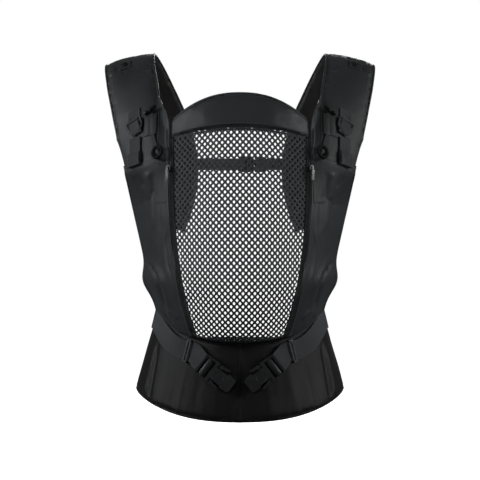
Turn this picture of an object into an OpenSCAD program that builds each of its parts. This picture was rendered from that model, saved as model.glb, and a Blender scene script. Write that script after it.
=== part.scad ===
// Soft baby carrier: a mesh front panel with side wings and a fold-down headrest, two padded
// shoulder straps that loop over the wearer's shoulders, and a padded waist belt with webbing.
// Millimetres, +Z up, front facing -Y. The origin is the middle of the waist opening, level with
// the belt's lowest edge. Side parts are drawn for +X; -X ones are their mirror images.
// Names ending in _r are at +X and names ending in _l are at -X.

/* [Front panel] */
// Height of the panel's bottom seam at the middle
panel_bottom = 149; // [147:1:151]
// Height of the headrest seam at the middle
panel_top = 544; // [540:1:548]
// Half width of the mesh window at its top
mesh_half = 122; // [118:1:124]
// How much narrower the mesh window is at its bottom, each side
mesh_taper = 43; // [40:1:46]
// How far the panel bulges forward of its bottom seam
panel_bulge = 190; // [184:1:194]
// Half width across the wings at their lower corners
wing_half = 160; // [158:1:162]
// Height of the wings' lower corners
wing_corner = 206; // [204:1:210]
// Height of the seam between a wing and its shoulder strap
wing_top = 482; // [478:1:484]
// Thickness of the mesh and of the wing fabric
fabric = 2; // [1.6:0.2:2.2]
// Height of the headrest's dome above its seam
dome = 67; // [62:1:70]
// Half width of the headrest
rest_half = 128; // [122:1:129]
// Thickness of the padded headrest
rest_thick = 9; // [8:0.5:10]

/* [Waist belt] */
// Half width that the belt flares from, at the height of its lowest edge
belt_half = 222; // [220:1:224]
// Half depth that the belt flares from, at the height of its lowest edge
belt_depth = 158; // [157:1:159]
// Thickness of the padded belt
belt_thick = 10.5; // [9:0.5:12]
// Angle from the front at which each end of the belt lies
belt_end = 140; // [137:1:142]
// Width of the waist webbing
waist_web = 37; // [34:1:38]

/* [Shoulder straps] */
// Width of a padded shoulder strap at its front
strap_width = 100; // [96:1:102]
// Width of a padded shoulder strap at its back end
strap_back_width = 88; // [80:1:90]
// Thickness of a padded shoulder strap
strap_thick = 14; // [12:1:15]
// Height of the left waist webbing behind the wearer
rear_web_low = 74; // [72:1:76]
// Height of the right waist webbing behind the wearer
rear_web_high = 117; // [115:1:119]
// Width of the webbing under the arm
arm_web = 25; // [20:1:25]
// How far the strap's outer edge draws in at its front seam
root_taper = 20; // [16:1:22]
// Share of the strap's length over which it draws in
root_taper_run = 0.1; // [0.08:0.01:0.12]
// Height of the chest strap
chest_height = 500; // [495:1:505]
// Width of the chest webbing
chest_web = 25; // [22:1:26]

/* [Hardware] */
// Length of a waist buckle half from its rear bar to its nose
buckle_length = 74; // [73:1:75]
// Thickness of a waist buckle half
buckle_thick = 9; // [8:0.5:9]
// Tilt of a waist buckle below the horizontal, in degrees
buckle_tilt = 37; // [36:1:38]
// Outer radius of the ring button
ring_radius = 14; // [13:0.5:14]
// Radius of the press stud's post
stud_post = 2.4; // [2:0.1:2.6]
// Length of the toggle bar
toggle_length = 28; // [26:1:30]

/* [Hidden] */
$fn = 48;
step = 0.001;
skin_gap = 0.3;
cover_thick = 1.5;
web_thick = 1.6;
black_cloth = [0.15, 0.16, 0.17];
strap_cloth = [0.19, 0.19, 0.20];
belt_cloth = [0.13, 0.13, 0.14];
web_colour = [0.24, 0.25, 0.26];
foam_colour = [0.55, 0.55, 0.57];
plastic = [0.07, 0.07, 0.08];
mesh_colour = [0.17, 0.18, 0.19];

// The waist buckle's own frame: centre, direction of its nose, outward normal
buckle_centre = [44, -150.5, 90];
buckle_nose = unit([-cos(buckle_tilt), -0.13, -sin(buckle_tilt)]);
buckle_out = unit(cross(buckle_nose, [sin(buckle_tilt), 0, -cos(buckle_tilt)]));

// The zip's straightest run, where its slider travels
zip_offset = 5;
zip_start = zip_point(470);
zip_end = zip_point(370);
zip_along = unit(zip_start - zip_end);
zip_out =
  let (out = body_out(zip_start.x, zip_start.z))
  unit(out - zip_along * (out * zip_along));

// Roots of the waist buckle's side arms and of the chest buckle's prongs
arm_pivot = [0, 17];
prong_root = 8.5;

// The keeper's frame on the waist webbing
keeper_angle = 31;
function front_web(a) = web_on_belt(a, rear_web_high);
keeper_along = unit(front_web(keeper_angle + 2) - front_web(keeper_angle - 2));
keeper_out =
  let (out = belt_out(front_web(keeper_angle)))
  unit(out - keeper_along * (out * keeper_along));
keeper_point = front_web(keeper_angle) - keeper_out * web_thick / 2;

// ---- Vector and curve helpers ----

function unit(v) = v / norm(v);
function lerp(a, b, t) = a + (b - a) * t;
function clamp(t) = min(1, max(0, t));
function smooth(t) = let (c = clamp(t)) c * c * (3 - 2 * c);

// Catmull-Rom curve through a list of points, t from 0 to 1
function through(points, t) =
  let (
    last = len(points) - 1,
    i = min(last - 1, max(0, floor(t * last))),
    f = t * last - i,
    b = points[i],
    c = points[i + 1],
    a = i > 0 ? points[i - 1] : 2 * b - c,
    d = i < last - 1 ? points[i + 2] : 2 * c - b
  )
  b + f / 2 * (c - a + f * (2 * a - 5 * b + 4 * c - d + f * (3 * b - a - 3 * c + d)));

// A point of a surface, moved by depth along its normal
function pushed(shape, u, v, depth) =
  let (
    across = shape(u + step, v) - shape(u - step, v),
    up = shape(u, v + step) - shape(u, v - step)
  )
  shape(u, v) + unit(cross(up, across)) * depth;

// A grid of points over a surface, at a depth that may vary over it
function grid(shape, columns, rows, depth) =
  [for (r = [0:rows]) [for (c = [0:columns])
    pushed(shape, c / columns, r / rows, depth(c / columns, r / rows))]];

// Closed solid between a front grid and a back grid of the same size
module between(front, back) {
  rows = len(front);
  columns = len(front[0]);
  at = function (side, r, c) (side * rows + r) * columns + c;
  quad = function (a, b, c, d) [[a, b, c], [a, c, d]];
  sheets = [for (r = [0:rows - 2]) for (c = [0:columns - 2]) each concat(
    quad(at(0, r, c), at(0, r + 1, c), at(0, r + 1, c + 1), at(0, r, c + 1)),
    quad(at(1, r, c), at(1, r, c + 1), at(1, r + 1, c + 1), at(1, r + 1, c)))];
  sides = [for (r = [0:rows - 2]) each concat(
    quad(at(0, r, 0), at(1, r, 0), at(1, r + 1, 0), at(0, r + 1, 0)),
    quad(at(0, r, columns - 1), at(0, r + 1, columns - 1), at(1, r + 1, columns - 1),
      at(1, r, columns - 1)))];
  ends = [for (c = [0:columns - 2]) each concat(
    quad(at(0, 0, c), at(0, 0, c + 1), at(1, 0, c + 1), at(1, 0, c)),
    quad(at(0, rows - 1, c), at(1, rows - 1, c), at(1, rows - 1, c + 1),
      at(0, rows - 1, c + 1)))];
  points = [for (side = [front, back]) for (row = side) each row];
  polyhedron(points, concat(sheets, sides, ends), convexity = 8);
}

// One layer of cloth or foam that follows a surface, between two depths below it
module layer(shape, columns, rows, near, far) {
  between(
    grid(shape, columns, rows, is_function(near) ? near : function (u, v) near),
    grid(shape, columns, rows, is_function(far) ? far : function (u, v) far));
}

// Draws a part at +X, or its mirror image at -X
module on(side) {
  if (side == "l") mirror([1, 0, 0]) children();
  else children();
}

// Draws a part on both sides
module both() {
  on("r") children();
  on("l") children();
}

// Places a part so that its x, y and z axes lie along right, up and out at a point
module placed(point, right, up, out) {
  multmatrix([
    [right.x, up.x, out.x, point.x],
    [right.y, up.y, out.y, point.y],
    [right.z, up.z, out.z, point.z]
  ]) children();
}

// ---- The front panel's surface ----

// Half width of the panel's outline at a height, with the hip pad's bulge
function outline(z) = wing_half + 0.226 * (z - wing_corner) + 12 * exp(-pow((z - 262) / 28, 2));

// Half width of the mesh window at a height
function mesh_edge(z) = mesh_half - mesh_taper * pow(clamp((530 - z) / 372), 2.8);

// The panel's surface in front of the middle plane's point (x, z)
function body(x, z) =
  let (
    foot = panel_bottom + 8 * pow(x / 79, 2),
    t = max(0, (z - foot) / (panel_top - panel_bottom)),
    middle = -143 - panel_bulge * sqrt(t) * (1 - 0.72 * t),
    side = -70 - 14 * t,
    share = min(0.999, pow(x / outline(z) / 1.015, 2)),
    wrap = 20 * pow(x / 124, 2) * pow(clamp((z - 430) / 110), 2)
  )
  [x, side + (middle - side) * pow(1 - share, 0.75) + wrap, z];

// Outward normal of the panel's surface
function body_out(x, z) = unit(cross(body(x + 1, z) - body(x - 1, z), body(x, z + 1) - body(x, z - 1)));

// Mesh window: u across, v up
mesh_surface = function (u, v)
  let (k = 2 * u - 1, z = lerp(panel_bottom + 8 * k * k, panel_top - 14 * k * k, v))
  body(k * mesh_edge(lerp(panel_bottom + 8, panel_top - 14, v)), z);

// Side wing: u from the mesh edge outward, v up
wing_surface = function (u, v)
  let (
    inner = lerp(panel_bottom + 8, wing_top, v),
    outer = lerp(wing_corner, wing_top, v),
    z = lerp(inner, outer, u) - 14 * sin(180 * u) * pow(1 - v, 2)
  )
  body(lerp(mesh_edge(inner) + skin_gap, outline(outer), u), z);

// Yoke beside the top of the mesh, up to where the headrest and the strap meet
yoke_surface = function (u, v)
  let (
    z = lerp(wing_top + skin_gap, lerp(545, 556, u), v),
    inner = lerp(mesh_edge(z) + skin_gap, rest_half + 1.8, smooth((z - 504) / 14))
  )
  body(lerp(inner, lerp(149, 138, v), u), z);

// Hip pad behind the wing's outer edge
hip_surface = function (u, v)
  let (z = lerp(222, 300, v))
  body(outline(z) * lerp(0.86, 0.97, u), z);

// Headrest, standing on the panel's top seam
rest_surface = function (u, v)
  let (
    k = 2 * u - 1,
    low = panel_top + 1.2 - 14 * k * k,
    high = panel_top + dome - (dome - 17) * pow(abs(k), 2.6)
  )
  body(k * rest_half, lerp(low, high, v));

// Depth of the foam inside the headrest, thinner towards its rim
rest_depth = function (u, v)
  cover_thick + (rest_thick - 2 * cover_thick) * rim(u) * rim(v * 0.9 + 0.05);
function rim(u) = 1 - 0.75 * pow(abs(2 * u - 1), 5);

module mesh_panel() {
  color(mesh_colour) layer(mesh_surface, 18, 22, 0, fabric);
}

module side_wing() {
  color(black_cloth) layer(wing_surface, 9, 20, 0, fabric);
}

module shoulder_yoke() {
  color(black_cloth) layer(yoke_surface, 4, 11, 0, fabric);
}

module hip_pad() {
  color(foam_colour) layer(hip_surface, 5, 8, fabric + 1, fabric + 9);
}

module headrest_cover() {
  color(black_cloth) layer(rest_surface, 20, 6, 0, cover_thick);
}

module headrest_foam() {
  color(foam_colour) layer(rest_surface, 20, 6, cover_thick, rest_depth);
}

module headrest_lining() {
  color(black_cloth) layer(rest_surface, 20, 6, rest_depth,
    function (u, v) rest_depth(u, v) + cover_thick);
}

// ---- The zip beside the mesh ----

// Middle of the zip at a height, on the wing just outside the mesh edge
function zip_point(z) = body(mesh_edge(z) + zip_offset, z);

// A tape along the zip, of a given half width
function zip_tape(half) = function (u, v)
  let (z = lerp(172, 525, v))
  body(mesh_edge(z) + zip_offset + lerp(-half, half, u), z);

module zip_tapes() {
  color(plastic) both() layer(zip_tape(4.6), 3, 22, -skin_gap - 0.9, -skin_gap);
}

module at_zip_slider() {
  placed(zip_start + zip_out * 6.8, cross(zip_along, zip_out), zip_along, zip_out) children();
}

module zip_slider() {
  color(plastic) at_zip_slider() {
    linear_extrude(4.4, center = true) polygon([[-4, -5], [4, -5], [4.6, 1], [3, 6], [-3, 6], [-4.6, 1]]);
    for (y = [-3.4, 3.4]) translate([0, y, 3]) cube([2.2, 1.6, 2.2], center = true);
    translate([0, 0, 4.4]) cube([2.2, 8.4, 1], center = true);
  }
}

module zip_pull() {
  color(plastic) at_zip_slider() translate([0, -11.5, 6.2]) cube([6, 19, 1.2], center = true);
}

// ---- Waist belt ----

// Belt surface: a is the angle from the front, v runs up
function belt_low(a) = 4 + 44 * pow(abs(sin(a)), 2.5) + (a > 90 ? 41.6 * (1 - sin(a)) : 0);
function belt_high(a) = a > 90 ? 204 - 90 * (1 - sin(a)) : 151 + 53 * smooth((a - 12) / 60);
function belt_at(a, z) = [(belt_half - 0.286 * z) * sin(a), -(belt_depth - 0.17 * z) * cos(a), z];
belt_surface = function (u, v)
  let (a = lerp(0.15, belt_end, u))
  belt_at(a, lerp(belt_low(a), belt_high(a), v));
belt_foam_depth = function (u, v)
  cover_thick + (belt_thick - 2 * cover_thick) * rim(v * 0.94 + 0.03);

module belt_cover() {
  color(belt_cloth) layer(belt_surface, 30, 4, 0, cover_thick);
}

module belt_foam() {
  color(foam_colour) layer(belt_surface, 30, 4, cover_thick, belt_foam_depth);
}

module belt_lining() {
  color(belt_cloth) layer(belt_surface, 30, 4, belt_foam_depth,
    function (u, v) belt_foam_depth(u, v) + cover_thick);
}

// ---- Waist webbing ----

// Outward direction of the belt's face near a point
function belt_out(p) = unit([p.x / 1.9, p.y, 22]);

// Height of the webbing's middle at an angle, which runs to rear_height behind the wearer
function web_height(a, rear_height) =
  a < 100 ? 128 + 56 * smooth((a - 25) / 55) : 184 + (rear_height - 184) * smooth((a - 100) / 60);
function web_on_belt(a, rear_height) =
  let (p = belt_at(a, web_height(a, rear_height)))
  p + belt_out(p) * (1.2 + web_thick + 6 * (1 - smooth((a - 38) / 24)));

// The webbing starts in the buckle's rear bars, then joins the belt's side
function web_middle(s, rear_height) =
  s < 0
    ? buckle_centre - buckle_nose * lerp(36, 16, clamp(-s)) - buckle_out * (buckle_thick / 2 + 1.8)
    : web_on_belt(lerp(27, 203, s), rear_height);

module waist_webbing(rear_height) {
  stations = concat([-1, -0.05], [for (i = [0:34]) i / 34]);
  middle = [for (s = stations) web_middle(s, rear_height)];
  last = len(middle) - 1;
  frames = [for (i = [0:last])
    let (
      along = unit(middle[min(last, i + 1)] - middle[max(0, i - 1)]),
      p = middle[i],
      out = i < 2 ? buckle_out : belt_out(p),
      across = unit(cross(out, along))
    )
    [p, across, cross(along, across)]];
  color(web_colour) between(
    [for (f = frames) [for (e = [-0.5, 0.5]) f[0] + f[1] * e * waist_web]],
    [for (f = frames) [for (e = [-0.5, 0.5]) f[0] + f[1] * e * waist_web - f[2] * web_thick]]);
}

// ---- Waist buckle ----

module at_buckle() {
  placed(buckle_centre, buckle_nose, cross(buckle_out, buckle_nose), buckle_out) children();
}

// Ladder-lock frame with two slots, a wide shoulder and a tongue with a rounded nose
module buckle_outline() {
  rear = -buckle_length / 2;
  nose = buckle_length / 2;
  hull() {
    for (y = [-18, 18]) translate([rear + 3, y]) circle(3);
    translate([-8, 0]) square([4, 43], center = true);
  }
  translate([-8, -12]) square([30, 24]);
  translate([18, -15]) square([6, 30]);
  hull() {
    translate([24, 0]) square([4, 30], center = true);
    for (y = [-9, 9]) translate([nose - 5, y]) circle(5);
  }
}

module waist_buckle() {
  color(plastic) at_buckle() difference() {
    linear_extrude(buckle_thick, center = true) buckle_outline();
    for (x = [-33, -21]) translate([x, -17.5, -buckle_thick]) cube([8, 35, 2 * buckle_thick]);
    translate([6, 0, buckle_thick / 2 - 0.6]) cylinder(h = 2, r = 9.5);
    for (y = [-17, 17]) translate([0, y, -buckle_thick]) cylinder(h = 2 * buckle_thick, r = 4.6);
  }
}

// Springy side arm: a round root that turns in the shoulder's seat, a beam and a hooked thumb pad
module squeeze_arm(which) {
  flip = which == "upper" ? 1 : 0;
  color(plastic) at_buckle() mirror([0, flip, 0]) {
    translate([arm_pivot.x, arm_pivot.y, 0]) cylinder(h = buckle_thick - 2, r = 4, center = true);
    linear_extrude(buckle_thick - 2, center = true)
      polygon([[2, 15.6], [13, 16.6], [16, 19.4], [17.4, 19.6], [17.4, 21.5], [14, 22], [2, 20.4]]);
  }
}

// ---- Webbing keeper on the waist webbing ----

module at_keeper() {
  placed(keeper_point, keeper_along, unit(cross(keeper_out, keeper_along)), keeper_out) children();
}

module webbing_keeper() {
  color(plastic) at_keeper() difference() {
    cube([9, waist_web + 6, 9], center = true);
    cube([10, waist_web + 2, 6], center = true);
    translate([0, 0, 4.5]) cube([2.6, waist_web - 1, 4], center = true);
  }
}

// ---- Shoulder strap ----

// The strap's middle line, from its front seam over the shoulder and down the back
strap_line = [
  [188, -146, 470], [192, -115, 545], [200, -84, 600], [212, -44, 655], [219, 2, 697],
  [208, 56, 688], [180, 96, 640], [146, 116, 565], [132, 122, 490], [140, 118, 425],
  [158, 108, 368]
];
// Direction across the strap at each of those points
strap_across = [
  [0.75, 0.62, -0.12], [0.82, 0.48, -0.18], [0.92, 0.26, -0.22], [0.97, 0.12, -0.22],
  [0.975, 0, -0.22], [0.95, -0.10, -0.30], [0.94, -0.12, -0.32], [0.97, -0.10, -0.22],
  [1, -0.08, 0.02], [0.97, -0.10, 0.22], [0.86, -0.20, 0.45]
];
function strap_up(v) = unit(through(strap_line, v + step) - through(strap_line, v - step));
function strap_right(v) =
  let (up = strap_up(v), w = through(strap_across, v))
  unit(w - up * (w * up));
function strap_out(v) = cross(strap_right(v), strap_up(v));
function strap_point(v, across, out) =
  through(strap_line, v) + strap_right(v) * across + strap_out(v) * out;
function strap_half(v) = lerp(strap_width, strap_back_width, smooth((v - 0.35) / 0.4)) / 2;
// The outer edge draws in towards the strap's front seam
function strap_outer(v) = strap_half(v) - root_taper * clamp(1 - v / root_taper_run);

// Height of the strap's face above its middle, rounded off towards both edges
function puff(u, peak) = 0.6 + peak * (1 - pow(abs(2 * u - 1), 3));

// Layer of the strap between two heights above its middle
module strap_layer(top, bottom) {
  columns = 8;
  rows = 40;
  sheet = function (height) [for (r = [0:rows]) [for (c = [0:columns])
    let (u = c / columns, v = lerp(0.002, 0.998, r / rows))
    strap_point(v, lerp(-strap_half(v), strap_outer(v), u), height(u))]];
  between(sheet(top), sheet(bottom));
}

strap_face = function (u) puff(u, strap_thick * 0.45);
strap_back_face = function (u) -puff(u, strap_thick * 0.3);

module strap_cover() {
  color(strap_cloth) strap_layer(function (u) strap_face(u) + cover_thick, strap_face);
}

module strap_foam() {
  color(foam_colour) strap_layer(strap_face, strap_back_face);
}

module strap_lining() {
  color(black_cloth) strap_layer(strap_back_face, function (u) strap_back_face(u) - cover_thick);
}

// ---- Hardware on the shoulder strap ----

// Height of the cover's outside above the strap's middle, at a distance across the strap
function face_at(v, across) =
  strap_face((across + strap_half(v)) / (strap_half(v) + strap_outer(v))) + cover_thick;

// Places hardware on the strap's face
module at_strap(v, across, height) {
  placed(strap_point(v, across, height), strap_right(v), strap_up(v), strap_out(v)) children();
}

// A patch of webbing or cloth that follows the strap's face
module strap_patch(from, to, inner, outer, near, far) {
  rows = 6;
  columns = 3;
  sheet = function (height) [for (r = [0:rows]) [for (c = [0:columns])
    let (v = lerp(from, to, r / rows), across = lerp(inner, outer, c / columns))
    strap_point(v, across, face_at(v, across) + height)]];
  between(sheet(far), sheet(near));
}

adjuster_at = [0.108, -1, 12.5];
adjuster_lean = -12;
adjuster_bar = 12;
tail_at = [0.055, -1, 13.2];
toggle_at = [0.14, -35, 12.4];
toggle_lean = -20;
ring_at = [0.02, -54, 8.6];
stud_at = [0.35, 8, 9.9];

module adjuster_anchors() {
  color(web_colour) both() strap_patch(0.137, 0.167, -13, 14, 0.2, 0.2 + web_thick);
}

// Ladder lock with two slots and a D-shaped thumb tab
module strap_adjuster() {
  color(plastic) at_strap(adjuster_at[0], adjuster_at[1], adjuster_at[2])
    rotate(adjuster_lean) difference() {
      union() {
        linear_extrude(4, center = true) {
          translate([-18, 0]) square([36, 12]);
          intersection() {
            circle(18);
            translate([-18, -18]) square([36, 18.5]);
          }
        }
        translate([0, adjuster_bar, 0]) rotate([0, 90, 0]) cylinder(h = 36, r = 2, center = true);
      }
      for (y = [2.5, 7.5]) translate([-14, y, -5]) cube([28, 2.6, 10]);
    }
}

// Free end of the adjuster's webbing, folded over several times and stitched into a block
module adjuster_tail() {
  color(web_colour) at_strap(tail_at[0], tail_at[1], tail_at[2]) {
    translate([0, 0, -1]) cube([26, 32, web_thick], center = true);
    translate([0, -29.5, 1]) cube([28, 27, 8], center = true);
  }
}

module toggle_bar() {
  color(plastic) at_strap(toggle_at[0], toggle_at[1], toggle_at[2]) rotate(toggle_lean) {
    rotate([0, 90, 0]) cylinder(h = toggle_length - 7, r = 3.5, center = true);
    for (x = [-0.5, 0.5]) translate([x * (toggle_length - 7), 0, 0]) sphere(3.5);
  }
}

module toggle_loops() {
  color(web_colour) both() strap_patch(0.134, 0.147, -41, -30, 0.2, 1.2);
}

module guide_panels() {
  color(strap_cloth) both() {
    strap_patch(0.07, 0.128, -47, -20, 0.2, 1);
  }
}

module ring_button() {
  color(plastic) at_strap(ring_at[0], ring_at[1], ring_at[2])
    rotate_extrude() translate([ring_radius - 3, 0]) intersection() {
      circle(3);
      translate([-3, -2.2]) square([6, 4.4]);
    }
}

module ring_tapes() {
  color(web_colour) both() at_strap(ring_at[0], ring_at[1], ring_at[2])
    rotate(-30) cube([5, 13, 1.6], center = true);
}

module stud_patches() {
  color(strap_cloth) both() strap_patch(0.333, 0.367, -4, 21, 0.2, 1.1);
}

module press_studs() {
  color(plastic) both() at_strap(stud_at[0], stud_at[1], stud_at[2]) {
    cylinder(h = 1.2, r = 6);
    cylinder(h = 4.4, r = stud_post);
  }
}

// ---- Webbing under the arms ----

// Middle of the webbing, from the strap's adjuster to the inner side of the wing's edge
arm_line = [
  [160.9, 109.8, 361.1], [164.3, 107.2, 349.9], [172, 90, 333], [183, 52, 321], [189, 8, 317],
  [190, -38, 320], [184.7, -79.8, 327], [179.2, -95.6, 328], [173.1, -107.9, 328]
];
// Direction up the wing's edge, which the webbing turns to lie along
wing_rise = [0.22, 0, 1];

module arm_webbings() {
  rows = 24;
  frames = [for (r = [0:rows])
    let (
      t = lerp(0.001, 0.999, r / rows),
      along = unit(through(arm_line, t + step) - through(arm_line, t - step)),
      wide = lerp(strap_right(0.998), wing_rise, smooth(t * 2)),
      across = unit(wide - along * (wide * along))
    )
    [through(arm_line, t), across, cross(along, across)]];
  color(web_colour) both() between(
    [for (f = frames) [for (e = [-0.5, 0.5]) f[0] + f[1] * e * arm_web + f[2] * web_thick / 2]],
    [for (f = frames) [for (e = [-0.5, 0.5]) f[0] + f[1] * e * arm_web - f[2] * web_thick / 2]]);
}

module arm_adjusters() {
  color(plastic) both() at_strap(0.998, 0, 0) translate([0, 7, 0]) difference() {
    cube([34, 10, 4], center = true);
    for (y = [-2.4, 2.4]) translate([0, y, 0]) cube([27, 2.4, 8], center = true);
  }
}

// ---- Chest strap behind the wearer ----

chest_x = 133;
chest_y = 136;
socket_x = 2;
plug_x = 31;

module chest_runners() {
  color(web_colour) both() strap_patch(0.73, 0.87, -6, 6, 0.2, 1.2);
}

module chest_sliders() {
  color(plastic) both() translate([chest_x, chest_y, chest_height]) difference() {
    cube([30, 5, chest_web + 8], center = true);
    translate([-10, 0, 0]) cube([6, 8, chest_web + 1], center = true);
  }
}

// Webbing of one half, from its slider to its buckle half
module chest_half(from, to) {
  translate([from, chest_y - web_thick / 2, chest_height - chest_web / 2])
    cube([to - from, web_thick, chest_web]);
}

module chest_webbing() {
  color(web_colour) {
    chest_half(-chest_x + 15.2, socket_x + 6);
    chest_half(plug_x + 4, chest_x - 15.2);
  }
}

module at_chest_buckle() {
  translate([0, chest_y + 7, chest_height]) rotate([90, 0, 0]) children();
}

module chest_socket() {
  color(plastic) at_chest_buckle() difference() {
    translate([socket_x, -16, -5]) cube([27, 32, 10]);
    translate([socket_x + 9, -12.5, -3]) cube([30, 25, 6]);
    for (y = [-16, 16]) translate([socket_x + 18, y, 0]) cube([9, 10, 6], center = true);
    translate([socket_x + 2.4, -11, -6]) cube([3, 22, 12]);
  }
}

module chest_plug() {
  color(plastic) at_chest_buckle() translate([plug_x, 0, 0]) difference() {
    union() {
      translate([0, -16, -4]) cube([22, 32, 8]);
      translate([-17, -2.4, -2]) cube([17.5, 4.8, 4]);
    }
    for (x = [4.5, 13]) translate([x, -12.5, -6]) cube([5, 25, 12]);
    for (y = [-8.5, 8.5]) translate([0.4, y, -6]) cylinder(h = 12, r = 3.2);
  }
}

// Springy prong: a round root in the plug's seat, a beam and a barbed tip
module chest_prong(which) {
  flip = which == "upper" ? 1 : 0;
  color(plastic) at_chest_buckle() mirror([0, flip, 0]) translate([plug_x, 0, 0]) {
    translate([0.4, prong_root, 0]) cylinder(h = 4.4, r = 2.6, center = true);
    linear_extrude(4.4, center = true)
      polygon([[-16, 7.6], [-1, 6.9], [-1, 10], [-8, 10.2], [-10, 11.6], [-14, 11.6]]);
  }
}

// ---- The assembly ----

mesh_panel();
on("l") side_wing();  // side_wing_l
on("r") side_wing();  // side_wing_r
on("l") shoulder_yoke();  // shoulder_yoke_l
on("r") shoulder_yoke();  // shoulder_yoke_r
on("l") hip_pad();  // hip_pad_l
on("r") hip_pad();  // hip_pad_r
headrest_cover();
headrest_foam();
headrest_lining();
zip_tapes();
on("l") zip_slider();  // zip_slider_l
on("r") zip_slider();  // zip_slider_r
on("l") zip_pull();  // zip_pull_l
on("r") zip_pull();  // zip_pull_r
on("l") belt_cover();  // belt_cover_l
on("r") belt_cover();  // belt_cover_r
on("l") belt_foam();  // belt_foam_l
on("r") belt_foam();  // belt_foam_r
on("l") belt_lining();  // belt_lining_l
on("r") belt_lining();  // belt_lining_r
on("l") waist_webbing(rear_web_low);  // waist_webbing_l
on("r") waist_webbing(rear_web_high);  // waist_webbing_r
on("l") webbing_keeper();  // webbing_keeper_l
on("r") webbing_keeper();  // webbing_keeper_r
on("l") waist_buckle();  // waist_buckle_l
on("r") waist_buckle();  // waist_buckle_r
on("l") squeeze_arm("upper");  // squeeze_arm_upper_l
on("r") squeeze_arm("upper");  // squeeze_arm_upper_r
on("l") squeeze_arm("lower");  // squeeze_arm_lower_l
on("r") squeeze_arm("lower");  // squeeze_arm_lower_r
on("l") strap_cover();  // strap_cover_l
on("r") strap_cover();  // strap_cover_r
on("l") strap_foam();  // strap_foam_l
on("r") strap_foam();  // strap_foam_r
on("l") strap_lining();  // strap_lining_l
on("r") strap_lining();  // strap_lining_r
adjuster_anchors();
on("l") strap_adjuster();  // strap_adjuster_l
on("r") strap_adjuster();  // strap_adjuster_r
on("l") adjuster_tail();  // adjuster_tail_l
on("r") adjuster_tail();  // adjuster_tail_r
toggle_loops();
on("l") toggle_bar();  // toggle_bar_l
on("r") toggle_bar();  // toggle_bar_r
guide_panels();
ring_tapes();
on("l") ring_button();  // ring_button_l
on("r") ring_button();  // ring_button_r
stud_patches();
press_studs();
arm_webbings();
arm_adjusters();
chest_runners();
chest_sliders();
chest_webbing();
chest_socket();
chest_plug();
chest_prong("upper");  // chest_prong_upper
chest_prong("lower");  // chest_prong_lower
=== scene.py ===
"""Soft baby carrier: cloth, padding, mesh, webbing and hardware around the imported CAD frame.

Lengths are in millimetres until a mesh is made, and side pieces are drawn for +X and mirrored.
"""

import contextlib
import math
import random

import bmesh
import bpy
import numpy as np
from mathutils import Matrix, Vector


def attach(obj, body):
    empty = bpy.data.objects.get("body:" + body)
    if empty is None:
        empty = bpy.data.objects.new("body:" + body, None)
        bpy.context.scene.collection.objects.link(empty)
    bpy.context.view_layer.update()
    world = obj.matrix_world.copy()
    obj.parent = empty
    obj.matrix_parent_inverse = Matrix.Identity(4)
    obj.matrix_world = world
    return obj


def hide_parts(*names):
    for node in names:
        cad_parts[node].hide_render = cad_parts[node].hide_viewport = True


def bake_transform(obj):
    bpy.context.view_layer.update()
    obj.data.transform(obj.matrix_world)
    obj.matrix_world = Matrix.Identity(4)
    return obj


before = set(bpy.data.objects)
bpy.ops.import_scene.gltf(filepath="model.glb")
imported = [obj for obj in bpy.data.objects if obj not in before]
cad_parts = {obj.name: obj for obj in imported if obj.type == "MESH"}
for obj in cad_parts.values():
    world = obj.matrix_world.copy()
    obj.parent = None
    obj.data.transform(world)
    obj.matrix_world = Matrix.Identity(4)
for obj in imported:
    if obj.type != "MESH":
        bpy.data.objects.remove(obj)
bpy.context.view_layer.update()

MM = 0.001
SIDES = {"r": 1, "l": -1}

# ---- Camera, light and floor ----

EYE = (0, -2.2, 0.34)
LENS = 82.9
FLOOR = -0.3


def linear(*srgb):
    """A colour given as 0-255 display values, as linear light."""
    return tuple(((c / 255 + 0.055) / 1.055) ** 2.4 if c > 10 else c / 255 / 12.92 for c in srgb)


def make_camera():
    data = bpy.data.cameras.new("camera")
    data.lens = LENS
    data.sensor_width = 36
    camera = bpy.data.objects.new("camera", data)
    camera.location = EYE
    camera.rotation_euler = (math.pi / 2, 0, 0)
    bpy.context.collection.objects.link(camera)
    bpy.context.scene.camera = camera


def area_light(name, place, target, size, power, tint=(1, 1, 1)):
    data = bpy.data.lights.new(name, "AREA")
    data.shape = "DISK"
    data.size = size
    data.energy = power
    data.color = tint
    lamp = bpy.data.objects.new(name, data)
    lamp.location = place
    lamp.rotation_euler = (Vector(target) - Vector(place)).to_track_quat("-Z", "Y").to_euler()
    bpy.context.collection.objects.link(lamp)


def disc_points(height, radius, spokes):
    turns = [2 * math.pi * s / spokes for s in range(spokes)]
    return [(radius * math.cos(t), radius * math.sin(t), height) for t in turns]


def make_stage(name, levels, colour, glow):
    """A surface of rings, as (height, radius) levels, that the camera sees but the object doesn't."""
    spokes = 64
    points = [p for height, radius in levels for p in disc_points(height, radius, spokes)]
    faces = [tuple(range(spokes))]
    for r in range(len(levels) - 1):
        for s in range(spokes):
            after = (s + 1) % spokes
            low, high = r * spokes, (r + 1) * spokes
            faces.append((low + s, low + after, high + after, high + s))
    mesh = bpy.data.meshes.new(name)
    mesh.from_pydata(points, [], faces)
    surface = bpy.data.objects.new(name, mesh)
    bpy.context.collection.objects.link(surface)
    surface.visible_diffuse = False
    surface.visible_glossy = False
    surface.visible_shadow = False
    coat = bpy.data.materials.new(f"{name}_coat")
    coat.use_nodes = True
    shader = coat.node_tree.nodes["Principled BSDF"]
    shader.inputs["Base Color"].default_value = (*colour, 1)
    shader.inputs["Roughness"].default_value = 0.9
    shader.inputs["Emission Color"].default_value = (1, 1, 1, 1)
    shader.inputs["Emission Strength"].default_value = glow
    mesh.materials.append(coat)


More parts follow.
